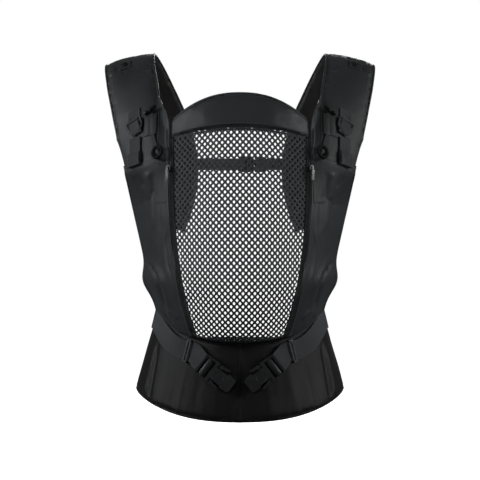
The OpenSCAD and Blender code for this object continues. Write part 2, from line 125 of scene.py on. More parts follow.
def make_light_and_floor():
    world = bpy.data.worlds.new("studio")
    bpy.context.scene.world = world
    world.use_nodes = True
    background = world.node_tree.nodes["Background"]
    background.inputs["Color"].default_value = (0.96, 0.98, 1, 1)
    background.inputs["Strength"].default_value = 0.12
    area_light("left", (-2.4, -1.0, 1.2), (0, -0.05, 0.35), 1.1, 54, (0.96, 0.98, 1))
    area_light("right", (2.4, -0.9, 1.0), (0, -0.05, 0.3), 1.1, 40)
    area_light("front", (-0.5, -2.6, 1.5), (0, 0, 0.35), 0.8, 3.5)
    area_light("behind", (0.3, 2.2, 1.3), (0, 0, 0.4), 1.4, 40)
    bpy.context.scene.view_settings.view_transform = "Standard"
    make_stage("floor", [(FLOOR, 12)], (0.9, 0.9, 0.9), 0.97)
    wall = [(FLOOR - 0.01, 11.9), (4, 11), (8, 7), (10, 1)]
    make_stage("backdrop", wall[::-1], (0, 0, 0), 1.0)


# ---- Materials ----


class Nodes:
    """A material's node tree with short calls for the nodes used here."""

    def __init__(self, name):
        self.material = bpy.data.materials.new(name)
        self.material.use_nodes = True
        self.tree = self.material.node_tree
        self.shader = self.tree.nodes["Principled BSDF"]

    def add(self, kind, links=None, **values):
        node = self.tree.nodes.new(kind)
        for key, value in values.items():
            setattr(node, key, value)
        for socket, source in (links or {}).items():
            if isinstance(source, bpy.types.NodeSocket):
                self.tree.links.new(source, node.inputs[socket])
            else:
                node.inputs[socket].default_value = source
        return node

    def maths(self, operation, a, b=0.0):
        return self.add("ShaderNodeMath", {0: a, 1: b}, operation=operation).outputs[0]

    def noise(self, where, scale, detail=3.0):
        links = {"Vector": where, "Scale": scale, "Detail": detail}
        return self.add("ShaderNodeTexNoise", links).outputs["Fac"]

    def ranged(self, value, low, high, start=0.3, end=0.7):
        links = {0: value, 1: start, 2: end, 3: low, 4: high}
        return self.add("ShaderNodeMapRange", links).outputs[0]

    def shade(self, colour, factor):
        """A colour multiplied by a factor."""
        links = {"Scale": factor, 0: colour}
        return self.add("ShaderNodeVectorMath", links, operation="SCALE").outputs[0]

    def set(self, **values):
        for key, value in values.items():
            socket = self.shader.inputs[key.replace("_", " ")]
            if isinstance(value, bpy.types.NodeSocket):
                self.tree.links.new(value, socket)
            else:
                socket.default_value = value

    def bump(self, height, strength, depth, onto=None):
        links = {"Strength": strength, "Distance": depth, "Height": height}
        if onto is not None:
            links["Normal"] = onto
        return self.add("ShaderNodeBump", links).outputs[0]


def weave_height(nodes, where, period, axes):
    """Over-and-under threads: the product of two waves along two axes of the coordinates."""
    parts = nodes.add("ShaderNodeSeparateXYZ", {0: where})
    waves = [
        nodes.maths("SINE", nodes.maths("MULTIPLY", parts.outputs[axis], 2 * math.pi / period))
        for axis in axes
    ]
    return nodes.maths("MULTIPLY", *waves)


def cloth(name, colour, rough, weave, sheen, by_uv=False, gloss=0.35, wrinkle=0.6):
    """Woven cloth: thread bump, painted highlight on the thread crowns and painted shade in their
    troughs, patchy fading, small wrinkles and soft sheen.
    """
    nodes = Nodes(name)
    coords = nodes.add("ShaderNodeTexCoord")
    where = coords.outputs["UV" if by_uv else "Object"]
    everywhere = coords.outputs["Object"]
    threads = weave_height(nodes, where, weave * MM, (0, 1) if by_uv else (0, 2))
    patches = nodes.noise(everywhere, 14)
    fibres = nodes.noise(everywhere, 900, 2)
    tone = nodes.maths(
        "MULTIPLY", nodes.ranged(patches, 0.86, 1.14), nodes.ranged(fibres, 0.9, 1.12)
    )
    # Thread crowns lighter and troughs darker in colour: painted highlight and painted shade of the
    # weave, on top of its bump.
    tone_and_weave_shade = nodes.maths("MULTIPLY", tone, nodes.ranged(threads, 0.86, 1.1, -1, 1))
    fine = nodes.bump(threads, 0.35, 0.15 * MM)
    rumple = nodes.bump(nodes.noise(everywhere, 60, 4), wrinkle, 1.2 * MM, fine)
    nodes.set(
        Base_Color=nodes.shade(colour, tone_and_weave_shade),
        Roughness=nodes.ranged(patches, rough - 0.06, rough + 0.08),
        Sheen_Weight=sheen,
        Sheen_Roughness=0.45,
        Specular_IOR_Level=gloss,
        Normal=rumple,
    )
    return nodes.material


def webbing_weave(name, colour, rough, rib=1.5, column=2.6):
    """Narrow webbing: rows of small chevrons across the width, from the strip's own UV, with painted
    highlight on the rib crowns and painted shade between them.
    """
    nodes = Nodes(name)
    coords = nodes.add("ShaderNodeTexCoord")
    parts = nodes.add("ShaderNodeSeparateXYZ", {0: coords.outputs["UV"]})
    zigzag = nodes.add("ShaderNodeMath", {0: parts.outputs[0], 1: column * MM}, operation="PINGPONG")
    along = nodes.maths("ADD", parts.outputs[1], zigzag.outputs[0])
    ribs = nodes.maths("SINE", nodes.maths("MULTIPLY", along, 2 * math.pi / (rib * MM)))
    patches = nodes.noise(coords.outputs["Object"], 30)
    fibres = nodes.noise(coords.outputs["Object"], 1200, 2)
    # Rib crowns lighter and troughs darker in colour: painted highlight and painted shade of the ribs,
    # on top of their bump.
    woven = nodes.ranged(ribs, 0.72, 1.15, -1, 1)
    tone = nodes.maths("MULTIPLY", woven, nodes.ranged(fibres, 0.85, 1.15))
    # Random fading patches, times the painted rib highlight and shade.
    fading_and_rib_shade = nodes.maths("MULTIPLY", tone, nodes.ranged(patches, 0.9, 1.12))
    fine = nodes.bump(ribs, 0.7, 0.3 * MM)
    nodes.set(
        Base_Color=nodes.shade(colour, fading_and_rib_shade),
        Roughness=nodes.ranged(patches, rough - 0.07, rough + 0.07),
        Sheen_Weight=0.05,
        Sheen_Roughness=0.5,
        Specular_IOR_Level=0.4,
        Normal=nodes.bump(fibres, 0.3, 0.1 * MM, fine),
    )
    return nodes.material


def moulded_plastic(name, colour, rough, coat, gloss=0.3):
    """Injection-moulded plastic: fine grain, smudged gloss and edges rubbed a little paler."""
    nodes = Nodes(name)
    where = nodes.add("ShaderNodeTexCoord").outputs["Object"]
    pointed = nodes.add("ShaderNodeNewGeometry").outputs["Pointiness"]
    edges = nodes.ranged(pointed, 0.9, 1.35, 0.49, 0.58)
    smudges = nodes.noise(where, 55, 4)
    grain = nodes.noise(where, 1800, 2)
    nodes.set(
        Base_Color=nodes.shade(colour, nodes.maths("MULTIPLY", edges, nodes.ranged(grain, 0.92, 1.08))),
        Roughness=nodes.ranged(smudges, rough - 0.06, rough + 0.1),
        Specular_IOR_Level=gloss,
        Coat_Weight=coat,
        Coat_Roughness=0.2,
        Normal=nodes.bump(grain, 0.25, 0.08 * MM),
    )
    return nodes.material


def make_materials():
    return {
        "wing": cloth("wing_cloth", linear(30, 33, 35), 0.5, 0.9, 0.05, by_uv=True, wrinkle=0.3),
        "headrest": cloth("headrest_cloth", linear(30, 33, 35), 0.5, 0.9, 0.05, wrinkle=0.3),
        "strap": cloth("strap_cloth", linear(29, 31, 32), 0.5, 0.9, 0.05, wrinkle=0.4),
        "patch": cloth("patch_cloth", linear(30, 32, 33), 0.5, 0.9, 0.05, by_uv=True, wrinkle=0.2),
        "belt": cloth("belt_cloth", linear(14, 13, 14), 0.4, 0.7, 0.0, gloss=0.16, wrinkle=0.2),
        "lining": cloth("lining_cloth", linear(34, 32, 31), 0.8, 2.4, 0.1, gloss=0.15),
        "mesh": cloth("mesh_threads", linear(36, 40, 43), 0.5, 0.8, 0.08, by_uv=True, wrinkle=0.1),
        "binding": cloth("edge_binding", linear(34, 36, 38), 0.5, 1.1, 0.06, wrinkle=0.1),
        "thread": cloth("sewing_thread", linear(40, 43, 45), 0.5, 0.5, 0.05, wrinkle=0.1),
        "webbing": webbing_weave("waist_webbing_weave", linear(46, 48, 51), 0.45),
        "tape": webbing_weave("narrow_tape_weave", linear(40, 42, 44), 0.5, 1.2, 1.8),
        "zip": webbing_weave("zip_tape_weave", linear(12, 13, 14), 0.6, 0.9, 1.4),
        "plastic": moulded_plastic("moulded_plastic", linear(19, 20, 21), 0.46, 0.05),
        "gloss": moulded_plastic("glossy_plastic", linear(7, 7, 8), 0.24, 0.2),
        "coil": moulded_plastic("zip_coil_nylon", linear(10, 10, 11), 0.42, 0.05),
        "ring": moulded_plastic("ring_plastic", linear(6, 6, 7), 0.6, 0.0, gloss=0.08),
    }


# ---- Vectors and curves (numpy arrays of points, last axis x, y, z) ----


def lerp(a, b, t):
    return a + (b - a) * t


def smooth(t):
    t = np.clip(t, 0, 1)
    return t * t * (3 - 2 * t)


def unit(v):
    v = np.asarray(v, float)
    return v / np.maximum(np.linalg.norm(v, axis=-1, keepdims=True), 1e-9)


def vec(*parts):
    return np.stack(np.broadcast_arrays(*[np.asarray(p, float) for p in parts]), axis=-1)


def dot(a, b):
    return np.sum(a * b, axis=-1)


def levels(rows, columns):
    """Grids of v and u from their values along the rows and the columns."""
    return np.meshgrid(rows, columns, indexing="ij")


def through(points, t):
    """Catmull-Rom curve through points, t from 0 to 1."""
    p = np.asarray(points, float)
    t = np.asarray(t, float) * (len(p) - 1)
    i = np.clip(np.floor(t).astype(int), 0, len(p) - 2)
    f = (t - i)[..., None]
    p = np.vstack([2 * p[0] - p[1], p, 2 * p[-1] - p[-2]])
    a, b, c, d = (p[i + k] for k in range(4))
    return b + f / 2 * (c - a + f * (2 * a - 5 * b + 4 * c - d + f * (3 * b - a - 3 * c + d)))


def lengths(path):
    """Distance along a path at each of its points."""
    steps = np.linalg.norm(np.diff(path, axis=0), axis=1)
    return np.concatenate([[0], np.cumsum(steps)])


def resampled(path, spacing):
    """The same path with points at an even spacing."""
    run = lengths(path)
    count = max(2, int(round(run[-1] / spacing)) + 1)
    at = np.linspace(0, run[-1], count)
    return np.stack([np.interp(at, run, path[:, k]) for k in range(3)], axis=1)


def smooth_path(points, spacing, samples=300):
    """A smooth curve through points, with points at an even spacing."""
    return resampled(through(points, np.linspace(0, 1, samples)), spacing)


def pushed(shape, u, v, depth):
    """Points of a surface, moved inward by depth."""
    h = 0.001
    across = shape(u + h, v) - shape(u - h, v)
    up = shape(u, v + h) - shape(u, v - h)
    return shape(u, v) + unit(np.cross(up, across)) * np.asarray(depth, float)[..., None]


def along_line(points, x, z):
    """Distance from each (x, z) to a polyline, and how far along it the nearest point is (0-1)."""
    best = np.full(np.shape(x), 1e9)
    place = np.zeros(np.shape(x))
    count = len(points) - 1
    for i in range(count):
        (ax, az), (bx, bz) = points[i], points[i + 1]
        dx, dz = bx - ax, bz - az
        t = np.clip(((x - ax) * dx + (z - az) * dz) / (dx * dx + dz * dz), 0, 1)
        away = np.hypot(x - ax - t * dx, z - az - t * dz)
        place = np.where(away < best, (i + t) / count, place)
        best = np.minimum(best, away)
    return best, place


def crease(x, z, points, width, height):
    """Soft ridge (or groove, if height is negative) along a polyline, fading out at its ends."""
    away, place = along_line(points, x, z)
    return height * np.exp(-((away / width) ** 2)) * smooth(place * 5) * smooth((1 - place) * 5)


def creases(x, z, folds, total=0.0):
    """The sum of folds, each given as its polyline, width and height."""
    for line, width, height in folds:
        total = total + crease(x, z, line, width, height)
    return total


def ripples(x, z, seed, size, height):
    """Gentle uneven waves about size across."""
    pick = random.Random(seed)
    total = np.zeros(np.shape(x))
    for _ in range(7):
        angle = pick.uniform(0, math.pi)
        pitch = size * pick.uniform(0.7, 1.8)
        phase = pick.uniform(0, 2 * math.pi)
        total += np.sin((x * math.cos(angle) + z * math.sin(angle)) * 2 * math.pi / pitch + phase)
    return height * total / 7 ** 0.5


# ---- Mesh building ----


@contextlib.contextmanager
def edited(mesh):
    """A mesh opened for bmesh operations, and written back afterwards."""
    work = bmesh.new()
    work.from_mesh(mesh)
    yield work
    work.to_mesh(mesh)
    work.free()


def new_piece(name, points, faces, material, uvs=None, side=1):
    """An object from points in millimetres; side -1 mirrors it in x and keeps its faces outward."""
    points = np.array(points, float).reshape(-1, 3) * MM
    points[:, 0] *= side
    if side < 0:
        faces = [tuple(reversed(f)) for f in faces]
    mesh = bpy.data.meshes.new(name)
    mesh.from_pydata(points.tolist(), [], [tuple(int(i) for i in f) for f in faces])
    if uvs is not None:
        layer = mesh.uv_layers.new(name="weave")
        flat = np.asarray(uvs, float).reshape(-1, 2) * MM
        order = np.zeros(len(mesh.loops), int)
        mesh.loops.foreach_get("vertex_index", order)
        layer.data.foreach_set("uv", flat[order].ravel())
    mesh.polygons.foreach_set("use_smooth", [True] * len(mesh.polygons))
    mesh.materials.append(material)
    piece = bpy.data.objects.new(name, mesh)
    bpy.context.collection.objects.link(piece)
    return piece


def grid_faces(rows, columns, wrap=False):
    """Quads of a grid of points, rows by columns; wrap joins the last column to the first."""
    last = columns if wrap else columns - 1
    return [
        (r * columns + c, r * columns + (c + 1) % columns,
         (r + 1) * columns + (c + 1) % columns, (r + 1) * columns + c)
        for r in range(rows - 1) for c in range(last)
    ]


def grid_uvs(points):
    """Distances across and along a grid of points, for a weave that follows the cloth."""
    rows, columns = points.shape[:2]
    across = lengths(points[rows // 2])
    along = lengths(points[:, columns // 2])
    return np.stack(np.broadcast_arrays(across[None, :], along[:, None]), axis=-1)


def cut_size(points):
    """Width, length and area of the flat cut that a grid of points was made from, in metres."""
    width = max(lengths(row)[-1] for row in points)
    length = max(lengths(column)[-1] for column in points.swapaxes(0, 1))
    a = points[1:, :-1] - points[:-1, :-1]
    b = points[:-1, 1:] - points[:-1, :-1]
    area = float(np.linalg.norm(np.cross(a, b), axis=-1).sum())
    return width * MM, length * MM, min(area, width * length) * MM * MM


def thicken(piece, thick):
    rim = piece.modifiers.new("thickness", "SOLIDIFY")
    rim.thickness = thick * MM
    rim.offset = -1.0
    rim.use_even_offset = False
    return piece


def round_edges(piece, radius, sharper_than=30):
    """Rounds the edges that turn by more than an angle in degrees."""
    bevel = piece.modifiers.new("edges", "BEVEL")
    bevel.width = radius * MM
    bevel.segments = 2
    bevel.limit_method = "ANGLE"
    bevel.angle_limit = math.radians(sharper_than)


def cloth_sheet(name, points, material, side=1, thick=0.9):
    """A sheet of cloth through a grid of points, thickened inward."""
    rows, columns = points.shape[:2]
    piece = new_piece(name, points, grid_faces(rows, columns), material, grid_uvs(points), side)
    return thicken(piece, thick)


def closed_faces(rows, columns):
    """Faces of a closed solid between a front and a back grid of the same size."""
    half = rows * columns
    front = grid_faces(rows, columns)
    back = [tuple(half + i for i in reversed(f)) for f in front]
    rim = [(0, c) for c in range(columns)]
    rim += [(r, columns - 1) for r in range(1, rows)]
    rim += [(rows - 1, c) for c in range(columns - 2, -1, -1)]
    rim += [(r, 0) for r in range(rows - 2, 0, -1)]
    loop = [r * columns + c for r, c in rim]
    edge = [
        (loop[i - 1], half + loop[i - 1], half + loop[i], loop[i])
        for i in range(len(loop))
    ]
    return front + back + [tuple(reversed(f)) for f in edge]


def swept(name, path, across, out, profile, material, side=1):
    """A profile, as (across, out) pairs, carried along a path, with capped ends."""
    profile = np.asarray(profile, float)
    count = len(profile)
    points = (
        path[:, None] + across[:, None] * profile[None, :, :1] + out[:, None] * profile[None, :, 1:]
    )
    faces = grid_faces(len(path), count, wrap=True)
    faces.append(tuple(range(count))[::-1])
    faces.append(tuple(range((len(path) - 1) * count, len(path) * count)))
    run = lengths(path)
    girth = profile[:, 0]
    uvs = np.stack(np.broadcast_arrays(girth[None, :], run[:, None]), axis=-1)
    return new_piece(name, points, faces, material, uvs, side)


def tube(name, path, radius, material, side=1, out=(0, -1, 0)):
    """Piping or binding along a path: a round strip of cloth."""
    along = unit(np.gradient(path, axis=0))
    across = unit(np.cross(along, np.broadcast_to(np.asarray(out, float), path.shape)))
    normal = np.cross(across, along)
    angles = np.linspace(0, 2 * math.pi, 9)[:-1]
    profile = np.stack([np.cos(angles), np.sin(angles)], axis=1) * radius
    return swept(name, path, across, normal, profile, material, side)


def strip_profile(width, thick):
    """Cross-section of webbing: flat, with slightly thicker rounded selvedges."""
    half, edge = width / 2, thick / 2
    top = [(-half + 0.3, edge * 0.8), (-half + 1.1, edge * 1.1), (-half + 2, edge * 0.9), (0, edge),
           (half - 2, edge * 0.9), (half - 1.1, edge * 1.1), (half - 0.3, edge * 0.8)]
    return [(-half, 0)] + top + [(half, 0)] + [(a, -b) for a, b in reversed(top)]


def ribbon(name, path, across, width, thick, material, side=1):
    """Webbing along a path, with the direction of its width, one or one at each point."""
    across = np.broadcast_to(across, path.shape)
    along = unit(np.gradient(path, axis=0))
    flat = unit(across - along * dot(across, along)[:, None])
    normal = np.cross(flat, along)
    return swept(name, path, flat, normal, strip_profile(width, thick), material, side)


STITCH, STITCH_GAP = 2.9, 1.3


def stitches(name, seams, material, side=1, thick=0.55):
    """Rows of sewing stitches: small spindles along each seam, a path with its outward normals."""
    points, faces = [], []
    for path, out in seams:
        out = np.broadcast_to(out, path.shape)
        run = lengths(path)
        count = int(run[-1] // (STITCH + STITCH_GAP))
        middles = (np.arange(count) + 0.5) * (STITCH + STITCH_GAP)
        at = [np.stack([np.interp(m, run, path[:, k]) for k in range(3)], axis=1)
              for m in (middles - STITCH / 2, middles + STITCH / 2)]
        normal = unit(np.stack([np.interp(middles, run, out[:, k]) for k in range(3)], axis=1))
        along = unit(at[1] - at[0])
        wide = np.cross(along, normal) * thick / 2
        middle = (at[0] + at[1]) / 2 + normal * thick * 0.4
        for i in range(count):
            base = len(points)
            points += [at[0][i], at[1][i], middle[i] + wide[i], middle[i] + normal[i] * thick / 2,
                       middle[i] - wide[i], middle[i] - normal[i] * thick / 2]
            for k in range(4):
                faces += [(base, base + 2 + k, base + 2 + (k + 1) % 4),
                          (base + 1, base + 2 + (k + 1) % 4, base + 2 + k)]
    return new_piece(name, points, faces, material, side=side)


def settle(piece, body, slot, *nodes):
    """Gives a piece its body (None if it is blended) and hides the CAD nodes it stands for; the slot is
    not used.
    """
    if body:
        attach(piece, body)
    if nodes:
        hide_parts(*nodes)
    return piece


def declare_sheet(piece, points):
    """Works out a sheet's cut size, which is not kept or used."""
    width, length, area = cut_size(points)


# ---- Padding by cloth simulation ----


def coords_of(mesh):
    flat = np.zeros(len(mesh.vertices) * 3)
    mesh.vertices.foreach_get("co", flat)
    return flat.reshape(-1, 3)


def normals_of(mesh):
    flat = np.zeros(len(mesh.vertices) * 3)
    mesh.vertices.foreach_get("normal", flat)
    return flat.reshape(-1, 3)


def set_coords(mesh, points):
    mesh.vertices.foreach_set("co", np.asarray(points, float).ravel())
    mesh.update()


def bake_modifiers(piece):
    """Applies a piece's modifiers to its mesh."""
    graph = bpy.context.evaluated_depsgraph_get()
    shaped = bpy.data.meshes.new_from_object(piece.evaluated_get(graph))
    piece.modifiers.clear()
    piece.data = shaped


# Share of the swelling's inward pull that the sewn edges take up
EDGE_HELD = 0.9
SWELL_PRESSURE, SWELL_FRAMES = 4.0, 20


def padded(name, front, back, material, voxel, cap, side=1):
    """A padded shape between two grids, remeshed and blown up as cloth by no more than a cap."""
    rows, columns = front.shape[:2]
    points = np.concatenate([front.reshape(-1, 3), back.reshape(-1, 3)])
    piece = new_piece(name, points, closed_faces(rows, columns), material, side=side)
    remesh = piece.modifiers.new("remesh", "REMESH")
    remesh.mode = "VOXEL"
    remesh.voxel_size = voxel * MM
    relax = piece.modifiers.new("relax", "SMOOTH")
    relax.factor = 0.5
    relax.iterations = 4
    bake_modifiers(piece)
    before = coords_of(piece.data)
    swell = piece.modifiers.new("swell", "CLOTH")
    swell.settings.use_pressure = True
    swell.settings.uniform_pressure_force = SWELL_PRESSURE
    swell.settings.quality = 4
    swell.settings.effector_weights.gravity = 0
    swell.collision_settings.use_collision = False
    for moment in range(1, SWELL_FRAMES + 1):
        bpy.context.scene.frame_set(moment)
    graph = bpy.context.evaluated_depsgraph_get()
    moved = coords_of(piece.evaluated_get(graph).to_mesh()) - before
    piece.modifiers.clear()
    far = np.linalg.norm(moved, axis=1, keepdims=True)
    moved *= np.minimum(1, cap * MM / np.maximum(far, 1e-9))
    skin = normals_of(piece.data)
    sunk = np.minimum(0, dot(moved, skin))[:, None]
    set_coords(piece.data, before + moved - skin * sunk * EDGE_HELD)
    bpy.context.scene.frame_set(1)
    round_off = piece.modifiers.new("round", "SUBSURF")
    round_off.levels = round_off.render_levels = 1
    bake_modifiers(piece)
    piece.data.polygons.foreach_set("use_smooth", [True] * len(piece.data.polygons))
    return piece


def press(piece, depth, side=1):
    """Moves a piece's skin along its normals by depth, a function of points in millimetres."""
    points = coords_of(piece.data)
    local = points / MM * np.array([side, 1, 1])
    set_coords(piece.data, points + normals_of(piece.data) * depth(local)[:, None] * MM)


# ---- The front panel ----

PANEL_LOW, PANEL_TOP = 149, 544
MESH_HALF, MESH_TAPER = 122, 43
BULGE = 190
WING_HALF, WING_CORNER, WING_TOP = 160, 206, 482
REST_HALF, REST_THICK, DOME = 128, 9, 67
SKIN_GAP = 0.3


def outline(z):
    return WING_HALF + 0.226 * (z - WING_CORNER) + 12 * np.exp(-(((z - 262) / 28) ** 2))


def mesh_edge(z):
    return MESH_HALF - MESH_TAPER * np.clip((530 - z) / 372, 0, 1) ** 2.8


def body(x, z):
    """The panel's surface in front of the middle plane's point (x, z)."""
    foot = PANEL_LOW + 8 * (x / 79) ** 2
    t = np.maximum(0, (z - foot) / (PANEL_TOP - PANEL_LOW))
    middle = -143 - BULGE * np.sqrt(t) * (1 - 0.72 * t)
    edge = -70 - 14 * t
    share = np.minimum(0.999, (x / outline(z) / 1.015) ** 2)
    wrap = 20 * (x / 124) ** 2 * np.clip((z - 430) / 110, 0, 1) ** 2
    return vec(x, edge + (middle - edge) * (1 - share) ** 0.75 + wrap, z)


def body_out(x, z):
    return unit(np.cross(body(x + 1, z) - body(x - 1, z), body(x, z + 1) - body(x, z - 1)))


def on_body(line, lift, spacing=2.0):
    """A path on the panel through (x, z) points, lifted outward, with its outward normals."""
    line = np.asarray(line, float)
    curve = smooth_path(np.column_stack([line, np.zeros(len(line))]), spacing, 200)
    out = body_out(curve[:, 0], curve[:, 1])
    return body(curve[:, 0], curve[:, 1]) + out * lift, out


def mesh_surface(u, v):
    k = 2 * u - 1
    z = lerp(PANEL_LOW + 8 * k * k, PANEL_TOP - 14 * k * k, v)
    return body(k * mesh_edge(lerp(PANEL_LOW + 8, PANEL_TOP - 14, v)), z)


def wing_surface(u, v):
    inner = lerp(PANEL_LOW + 8, WING_TOP, v)
    outer = lerp(WING_CORNER, WING_TOP, v)
    z = lerp(inner, outer, u) - 14 * np.sin(math.pi * u) * (1 - v) ** 2
    return body(lerp(mesh_edge(inner) + SKIN_GAP, outline(outer), u), z)


def hip_surface(u, v):
    z = lerp(222, 300, v)
    return body(outline(z) * lerp(0.86, 0.97, u), z)


def rest_surface(u, v):
    k = 2 * u - 1
    low = PANEL_TOP + 1.2 - 14 * k * k
    high = PANEL_TOP + DOME - (DOME - 17) * np.abs(k) ** 2.3
    return body(k * REST_HALF, lerp(low, high, v))


def bilinear(table, row, column):
    """Values of a table between its whole rows and columns."""
    rows, columns = table.shape
    row = np.clip(row, 0, rows - 1.001)
    column = np.clip(column, 0, columns - 1.001)
    r, c = row.astype(int), column.astype(int)
    fr, fc = row - r, column - c
    top = table[r, c] * (1 - fc) + table[r, c + 1] * fc
    low = table[r + 1, c] * (1 - fc) + table[r + 1, c + 1] * fc
    return top * (1 - fr) + low * fr


MESH_PITCH, MESH_ROW = 10.8, 6.1
MESH_ROUND, MESH_DIAMOND = 2.75, 0.58
HOLE_NARROW = np.array([0.83, 1.0])


def make_mesh_window(material):
    """Knitted mesh with real holes, diamonds with rounded corners, even along the surface."""
    rows, columns, reach = 240, 240, 175
    v = np.linspace(0, 1, rows + 1)
    middle = mesh_surface(0.5, v)
    heights = 0.25 * lengths(middle) + 0.75 * (middle[:, 2] - middle[0, 2])
    samples = np.linspace(-reach, reach, columns + 1)
    table = np.zeros((rows + 1, columns + 1))
    u = np.linspace(-0.08, 1.08, 161)
    for r in range(rows + 1):
        run = lengths(mesh_surface(u, v[r]))
        table[r] = np.interp(samples, run - run[80], u)
    halves = [np.interp(1.0, table[r], samples) for r in range(rows + 1)]
    tips = np.array([(MESH_PITCH / 2, 0), (0, MESH_ROW), (-MESH_PITCH / 2, 0), (0, -MESH_ROW)])
    thirds = np.array([[0], [1], [2]]) / 3
    cell = np.concatenate([lerp(tips[k], tips[(k + 1) % 4], thirds) for k in range(4)])
    reach_out = np.linalg.norm(cell, axis=1, keepdims=True)
    hole = cell * (MESH_ROUND / reach_out + MESH_DIAMOND) / 2 * HOLE_NARROW
    corners = len(cell)
    flat, faces, seen = [], [], {}

    def index(s, t, depth):
        key = (round(s * 20), round(t * 20), depth)
        if key not in seen:
            seen[key] = len(flat)
            flat.append((s, t, depth))
        return seen[key]

    for j in range(int(heights[-1] / MESH_ROW) + 2):
        t = j * MESH_ROW
        half = np.interp(t, heights, halves)
        for i in range(-16, 17):
            s = (i + 0.5 * (j % 2)) * MESH_PITCH
            if abs(s) > half:
                continue
            outer = [index(s + a, t + b, 0) for a, b in cell]
            inner = [index(s + a, t + b, 1) for a, b in hole]
            faces += [(outer[k], outer[(k + 1) % corners], inner[(k + 1) % corners], inner[k])
                      for k in range(corners)]
    flat = np.array(flat)
    row = np.interp(flat[:, 1], heights, np.arange(rows + 1), left=0, right=rows)
    column = (flat[:, 0] + reach) / (2 * reach) * columns
    across = np.clip(bilinear(table, row, column), 0, 1)
    points = pushed(mesh_surface, across, row / rows, flat[:, 2] * 0.25)
    piece = new_piece("mesh_window", points, faces, material, flat[:, :2])
    with edited(piece.data) as work:
        bmesh.ops.dissolve_degenerate(work, edges=work.edges, dist=0.05 * MM)
    thicken(piece, 0.8)
    settle(piece, "carrier", "mesh", "mesh_panel")
    v, u = levels(np.linspace(0, 1, 61), np.linspace(0, 1, 41))
    declare_sheet(piece, mesh_surface(u, v))


def band(name, line, half, material):
    """A narrow folded hem along an (x, z) line on the panel, crowned across its width."""
    middle, _ = on_body(line, 0, 3.0)
    along = unit(np.gradient(middle, axis=0))
    out = body_out(middle[:, 0], middle[:, 2])
    across = unit(np.cross(along, out))
    offsets = np.linspace(-half, half, 7)
    height = 0.3 + 0.6 * (1 - (offsets / half) ** 2)
    beside = across[:, None] * offsets[None, :, None]
    points = middle[:, None] + beside + out[:, None] * height[None, :, None]
    return cloth_sheet(name, points, material, thick=1.0)


# Folds of a side wing: the (x, z) line of each, its width and its height
WING_FOLDS = [
    ([(176, 300), (158, 276), (146, 236), (137, 200)], 4.2, -4.2),
    ([(170, 296), (150, 268), (139, 230), (128, 190)], 6, 2.2),
    ([(134, 365), (137, 330), (133, 296), (126, 268), (121, 240)], 2.2, -1.1),
    ([(138, 368), (141, 330), (137, 294), (131, 262)], 4, 1.1),
    ([(163, 478), (161, 440), (162, 400), (158, 350)], 6, 1.8),
    ([(152, 478), (150, 440), (150, 395), (146, 350)], 5, -1.5),
    ([(136, 470), (146, 452), (160, 440)], 5, 1.8),
    ([(116, 190), (126, 202), (138, 206)], 5, 2.0),
    ([(128, 178), (134, 190), (142, 198)], 4, -1.6),
]
WING_SEEDS = {"r": 3, "l": 8}


def wing_relief(x, z, seed):
    """A side wing's outward height at the panel's (x, z)."""
    return creases(x, z, WING_FOLDS, ripples(x, z, seed, 70, 0.8))


def make_wings(paint):
    for side, sign in SIDES.items():
        seed = WING_SEEDS[side]
        v, u = levels(np.linspace(0, 1, 141), np.linspace(0, 1, 61))
        flat = wing_surface(u, v)
        edge = smooth(u / 0.08) * smooth((1 - u) / 0.04) * smooth(v / 0.05) * smooth((1 - v) / 0.03)
        relief = wing_relief(flat[..., 0], flat[..., 2], seed) * edge
        rolled = 1.6 * np.exp(-(((1 - u) / 0.03) ** 2)) + 1.3 * np.exp(-((u - 0.13) / 0.035) ** 2)
        points = pushed(wing_surface, u, v, 0.3 - relief - rolled)
        wing = cloth_sheet(f"wing_{side}", points, paint["wing"], sign, 1.3)
        settle(wing, "carrier", "body_cloth", f"side_wing_{side}")
        declare_sheet(wing, points)

        seams = []
        for at in (0.22, 0.96):
            path = pushed(wing_surface, at, np.linspace(0.02, 0.98, 160), -0.4)
            height = wing_relief(path[:, 0], path[:, 2], seed)
            out = body_out(path[:, 0], path[:, 2])
            seams.append((path + out * np.maximum(height, 0)[:, None], out))
        thread = stitches(f"wing_stitching_{side}", seams, paint["thread"], sign)
        settle(thread, "carrier", "body_cloth")

        rim = resampled(wing_surface(1.0, np.linspace(0, 1, 200)), 3)
        piping = tube(f"wing_edge_{side}", rim, 1.7, paint["binding"], sign)
        settle(piping, "carrier", "body_cloth")


def make_hip_pads(paint):
    for side, sign in SIDES.items():
        v, u = levels(np.linspace(0, 1, 17), np.linspace(0, 1, 13))
        crown = np.sqrt(np.clip((1 - (2 * u - 1) ** 2) * (1 - (2 * v - 1) ** 2), 0, 1))
        front = pushed(hip_surface, u, v, 5.5 - 2 * crown)
        back = pushed(hip_surface, u, v, 6.5 + 4 * crown)
        pad = padded(f"hip_padding_{side}", front, back, paint["lining"], 4, 3, sign)
        settle(pad, "carrier", "lining", f"hip_pad_{side}")


# Upper end (x, z), width and height of the folds that start at the headrest's lower corners
REST_FOLDS = [(30, 603, 13, 1.3), (64, 566, 11, -0.9), (80, 590, 10, 1.0), (100, 572, 7, -0.9)]


def rest_relief(x, z):
    """Folds of the headrest, radiating from its lower corners, as outward height."""
    total = ripples(x, z, 21, 80, 0.5)
    for sign in (-1, 1):
        for reach, top, width, height in REST_FOLDS:
            total += crease(x, z, [(sign * 122, 532), (sign * reach, top)], width, height)
    return total


